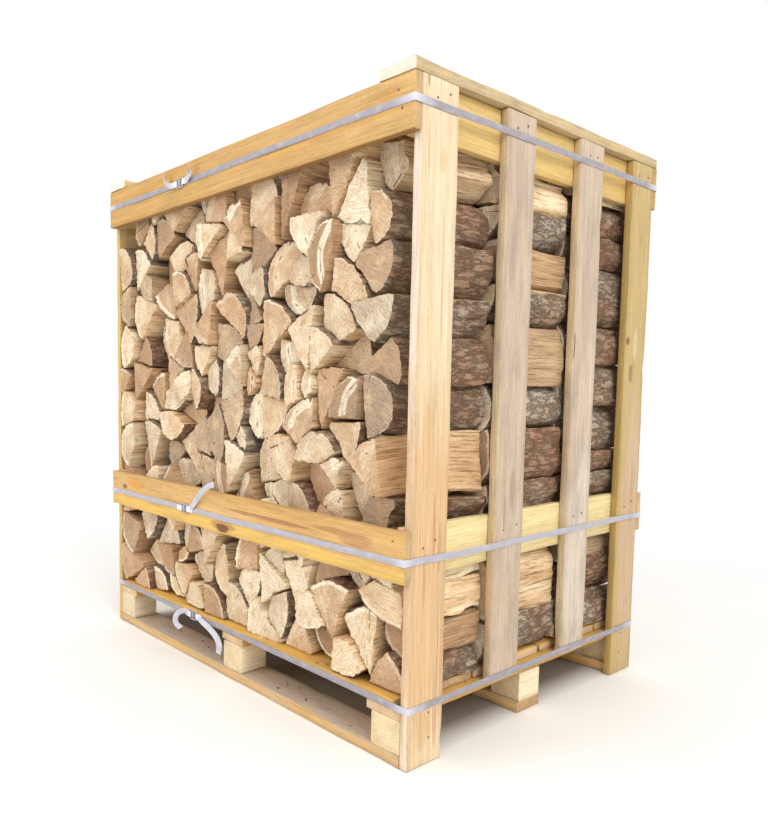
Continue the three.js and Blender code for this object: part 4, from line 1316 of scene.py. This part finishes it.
# Where each loose end runs, in millimetres, with the way its width lies.
loose_ends = {
    "top_left": [((-250, -526, 1424), (0, 0, 1)), ((-270, -530, 1425), (0.1, -0.1, 1)),
                 ((-284, -537, 1433), (0.6, -0.4, 0.6)), ((-289, -543, 1447), (0.85, -0.5, 0.1)),
                 ((-291, -546, 1462), (0.85, -0.5, 0))],
    "top_right": [((-202, -526, 1427), (0, 0, 1)), ((-172, -531, 1430), (0.1, -0.2, 1)),
                  ((-152, -538, 1441), (0.6, -0.5, 0.5)), ((-144, -542, 1454), (0.85, -0.5, 0.1)),
                  ((-145, -544, 1468), (0.85, -0.5, 0))],
    "middle": [((-176, -526, 468), (0, 0, 1)), ((-146, -529, 483), (-0.3, -0.2, 0.9)),
               ((-104, -537, 514), (-0.55, -0.45, 0.65)), ((-64, -545, 538), (-0.5, -0.35, 0.75)),
               ((-26, -550, 556), (-0.35, -0.1, 0.9)), ((3, -552, 564), (-0.25, 0.05, 0.95))],
    "bottom_left": [((-208, -504, 139), (0, 0, 1)), ((-222, -511, 145), (0, -0.15, 1)),
                    ((-234, -526, 138), (-0.45, -0.4, 0.8)), ((-229, -540, 125), (-0.5, -0.65, 0.25)),
                    ((-207, -549, 115), (-0.3, -0.6, -0.15)), ((-177, -552, 110), (-0.2, -0.55, -0.25))],
    "bottom_right": [((-160, -504, 137), (0, 0, 1)), ((-119, -510, 133), (0.1, 0.5, 0.85)),
                     ((-79, -516, 129), (0.2, 0.7, 0.7)), ((-46, -522, 124), (0.25, 0.75, 0.6)),
                     ((-19, -527, 116), (0.34, 0.84, 0.41)), ((0, -531, 101), (0.47, 0.87, 0.11)),
                     ((-3, -532, 76), (0.85, 0.3, 0.1))],
}
for place, route in loose_ends.items():
    line = smooth_line([np.array(at) / 1000 for at, _ in route], 8)
    across = smooth_line([way for _, way in route], 8)
    tail = ribbon("loose_strap_" + place, line, across)
    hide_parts("strap_tail_" + place)


# Buckles. Each is bent from one 3.6 mm galvanised wire: an oblong ring with a bar across its middle. The
# strap is folded back round both ends; its pass over the bar is not drawn.
galvanised, tree = new_material("galvanised_buckle_wire")
at = node(tree, "TexCoord", out="Object")
spangle = node(tree, "TexNoise", {"Vector": at, "Scale": 300.0, "Detail": 3.0})
tint = node(tree, "ValToRGB", {0: spangle}, stops=((0.3, "#9b9fa3"), (0.6, "#c4c8cb"), (0.8, "#d8dadc")))
dull = node(tree, "MapRange", {"Value": spangle, "To Min": 0.25, "To Max": 0.5})
rub = node(tree, "Bump", {"Strength": 0.3, "Distance": 0.0002, "Height": spangle})
zinc = node(tree, "BsdfPrincipled",
            {"Base Color": tint, "Metallic": 0.95, "Roughness": dull, "Normal": rub})
node(tree, "OutputMaterial", {"Surface": zinc})


def wire(path, thick, closed, points, faces):
    """Adds a round wire along a path to a mesh's points and faces."""
    path = np.array(path)
    n = len(path)
    run = (np.roll(path, -1, axis=0) - np.roll(path, 1, axis=0)) if closed else np.gradient(path, axis=0)
    run /= np.linalg.norm(run, axis=1)[:, None]
    side = np.cross(run, [0.0, 1.0, 0.0])
    side /= np.linalg.norm(side, axis=1)[:, None]
    up = np.cross(side, run)
    base = len(points)
    for j in range(n):
        for k in range(10):
            a = k * math.pi / 5
            points.append(path[j] + thick / 2 * (side[j] * math.cos(a) + up[j] * math.sin(a)))
    for j in range(n if closed else n - 1):
        a, b = base + j * 10, base + ((j + 1) % n) * 10
        faces.extend((a + k, b + k, b + (k + 1) % 10, a + (k + 1) % 10) for k in range(10))
    if not closed:
        faces.append(tuple(base + k for k in range(10)))
        faces.append(tuple(base + (n - 1) * 10 + k for k in range(9, -1, -1)))


for level in ("top", "middle", "bottom"):
    low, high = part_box("buckle_" + level)
    thick = high.y - low.y
    middle = (np.array(low) + np.array(high)) / 2
    half_x, half_z = (high.x - low.x - thick) / 2, (high.z - low.z - thick) / 2
    bend = 0.005
    outline = []
    for cx, cz, start in ((1, -1, -90), (1, 1, 0), (-1, 1, 90), (-1, -1, 180)):
        for k in range(6):
            a = math.radians(start + 18 * k)
            outline.append(middle + [cx * (half_x - bend) + bend * math.cos(a), 0,
                                     cz * (half_z - bend) + bend * math.sin(a)])
    points, faces = [], []
    wire(outline, thick, True, points, faces)
    bar = [middle + [0.001 * math.sin(t * 3), -0.0012 * math.sin(t * math.pi), z]
           for t, z in zip(np.linspace(0, 1, 7), np.linspace(-half_z, half_z, 7))]
    wire(bar, thick, False, points, faces)
    buckle = solid("wire_buckle_" + level, points, faces, materials=[galvanised], sharp_deg=60)
    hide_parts("buckle_" + level)
    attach(buckle, "root")
    # The strap's folds round the two end bars.
    for side in (-1, 1):
        bar_x, face_y = middle[0] + side * half_x, middle[1]
        round_it = thick / 2 + 0.0009
        fold = [(bar_x + side * 0.016, face_y + round_it * 0.9), (bar_x + side * 0.004, face_y + round_it),
                (bar_x, face_y + round_it)]
        fold += [(bar_x - side * round_it * math.sin(a), face_y + round_it * math.cos(a))
                 for a in np.linspace(0.3, math.pi, 7)]
        fold += [(bar_x + side * 0.004, face_y - round_it), (bar_x + side * 0.012, face_y - round_it * 0.7),
                 (bar_x + side * 0.020, face_y - round_it * 0.2),
                 (bar_x + side * 0.026, face_y + round_it * 0.5)]
        line = smooth_line([(x, y, middle[2] + 0.0006 * side) for x, y in fold], 3)
        ribbon(f"strap_fold_{level}_{'left' if side < 0 else 'right'}", line,
               np.tile([0.0, 0.0, 1.0], (len(line), 1)), wide=0.0165, white=1.0)


# Bark crumbs and splinters, 2 to 10 mm long, shaken out of the stack on to the pallet boards.
rng = np.random.default_rng(77)
crumb_points, crumb_faces, crumb_kinds, crumb_grain, crumb_tone = [], [], [], [], []
for cad, how_many in (("runner_front", 70), ("runner_middle", 30), ("runner_back", 20),
                      ("deck_board_1", 30), ("deck_board_7", 30), ("stringer_right", 14),
                      ("stringer_left", 14)):
    low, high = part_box(cad)
    for _ in range(how_many):
        size = rng.uniform(0.001, 0.003) * (1.6 if rng.random() < 0.15 else 1.0)
        long_way = size * rng.uniform(1.0, 2.4)
        at = np.array([rng.uniform(low.x + 0.02, high.x - 0.02), rng.uniform(low.y + 0.012, high.y - 0.012),
                       high.z])
        spin, n = rng.uniform(0, 2 * math.pi), int(rng.integers(5, 8))
        thick = size * rng.uniform(0.25, 0.5)
        base = len(crumb_points)
        wobble = rng.uniform(0.7, 1.2, n)
        for lift, share in ((0.0, 0.9), (thick * 0.6, 1.0), (thick, 0.6)):
            for k in range(n):
                a = 2 * math.pi * k / n
                x, y = long_way * wobble[k] * share * math.cos(a), size * wobble[k] * share * math.sin(a)
                crumb_points.append(at + [x * math.cos(spin) - y * math.sin(spin),
                                          x * math.sin(spin) + y * math.cos(spin), lift - 0.0004])
                crumb_grain.append((x, y + 3 * size, lift + base * 0.37))
        crumb_points.append(at + [0, 0, thick * 0.95])
        crumb_grain.append((0, 3 * size, base * 0.37))
        faces = [(base + k + n * r, base + (k + 1) % n + n * r, base + (k + 1) % n + n * (r + 1),
                  base + k + n * (r + 1)) for r in (0, 1) for k in range(n)]
        faces += [(base + 2 * n + k, base + 2 * n + (k + 1) % n, base + 3 * n) for k in range(n)]
        crumb_faces += faces
        crumb_kinds += [2 if rng.random() < 0.6 else 1] * len(faces)
        crumb_tone += [(rng.normal(0, 1), rng.normal(0, 0.8), 0.0)] * (3 * n + 1)
crumbs = solid("bark_crumbs", crumb_points, crumb_faces,
               {"grain": np.array(crumb_grain), "tone": np.array(crumb_tone),
                "rim": np.full(len(crumb_points), 0.05)}, firewood_materials, crumb_kinds)
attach(crumbs, "root")


# The finished size.
low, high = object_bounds()
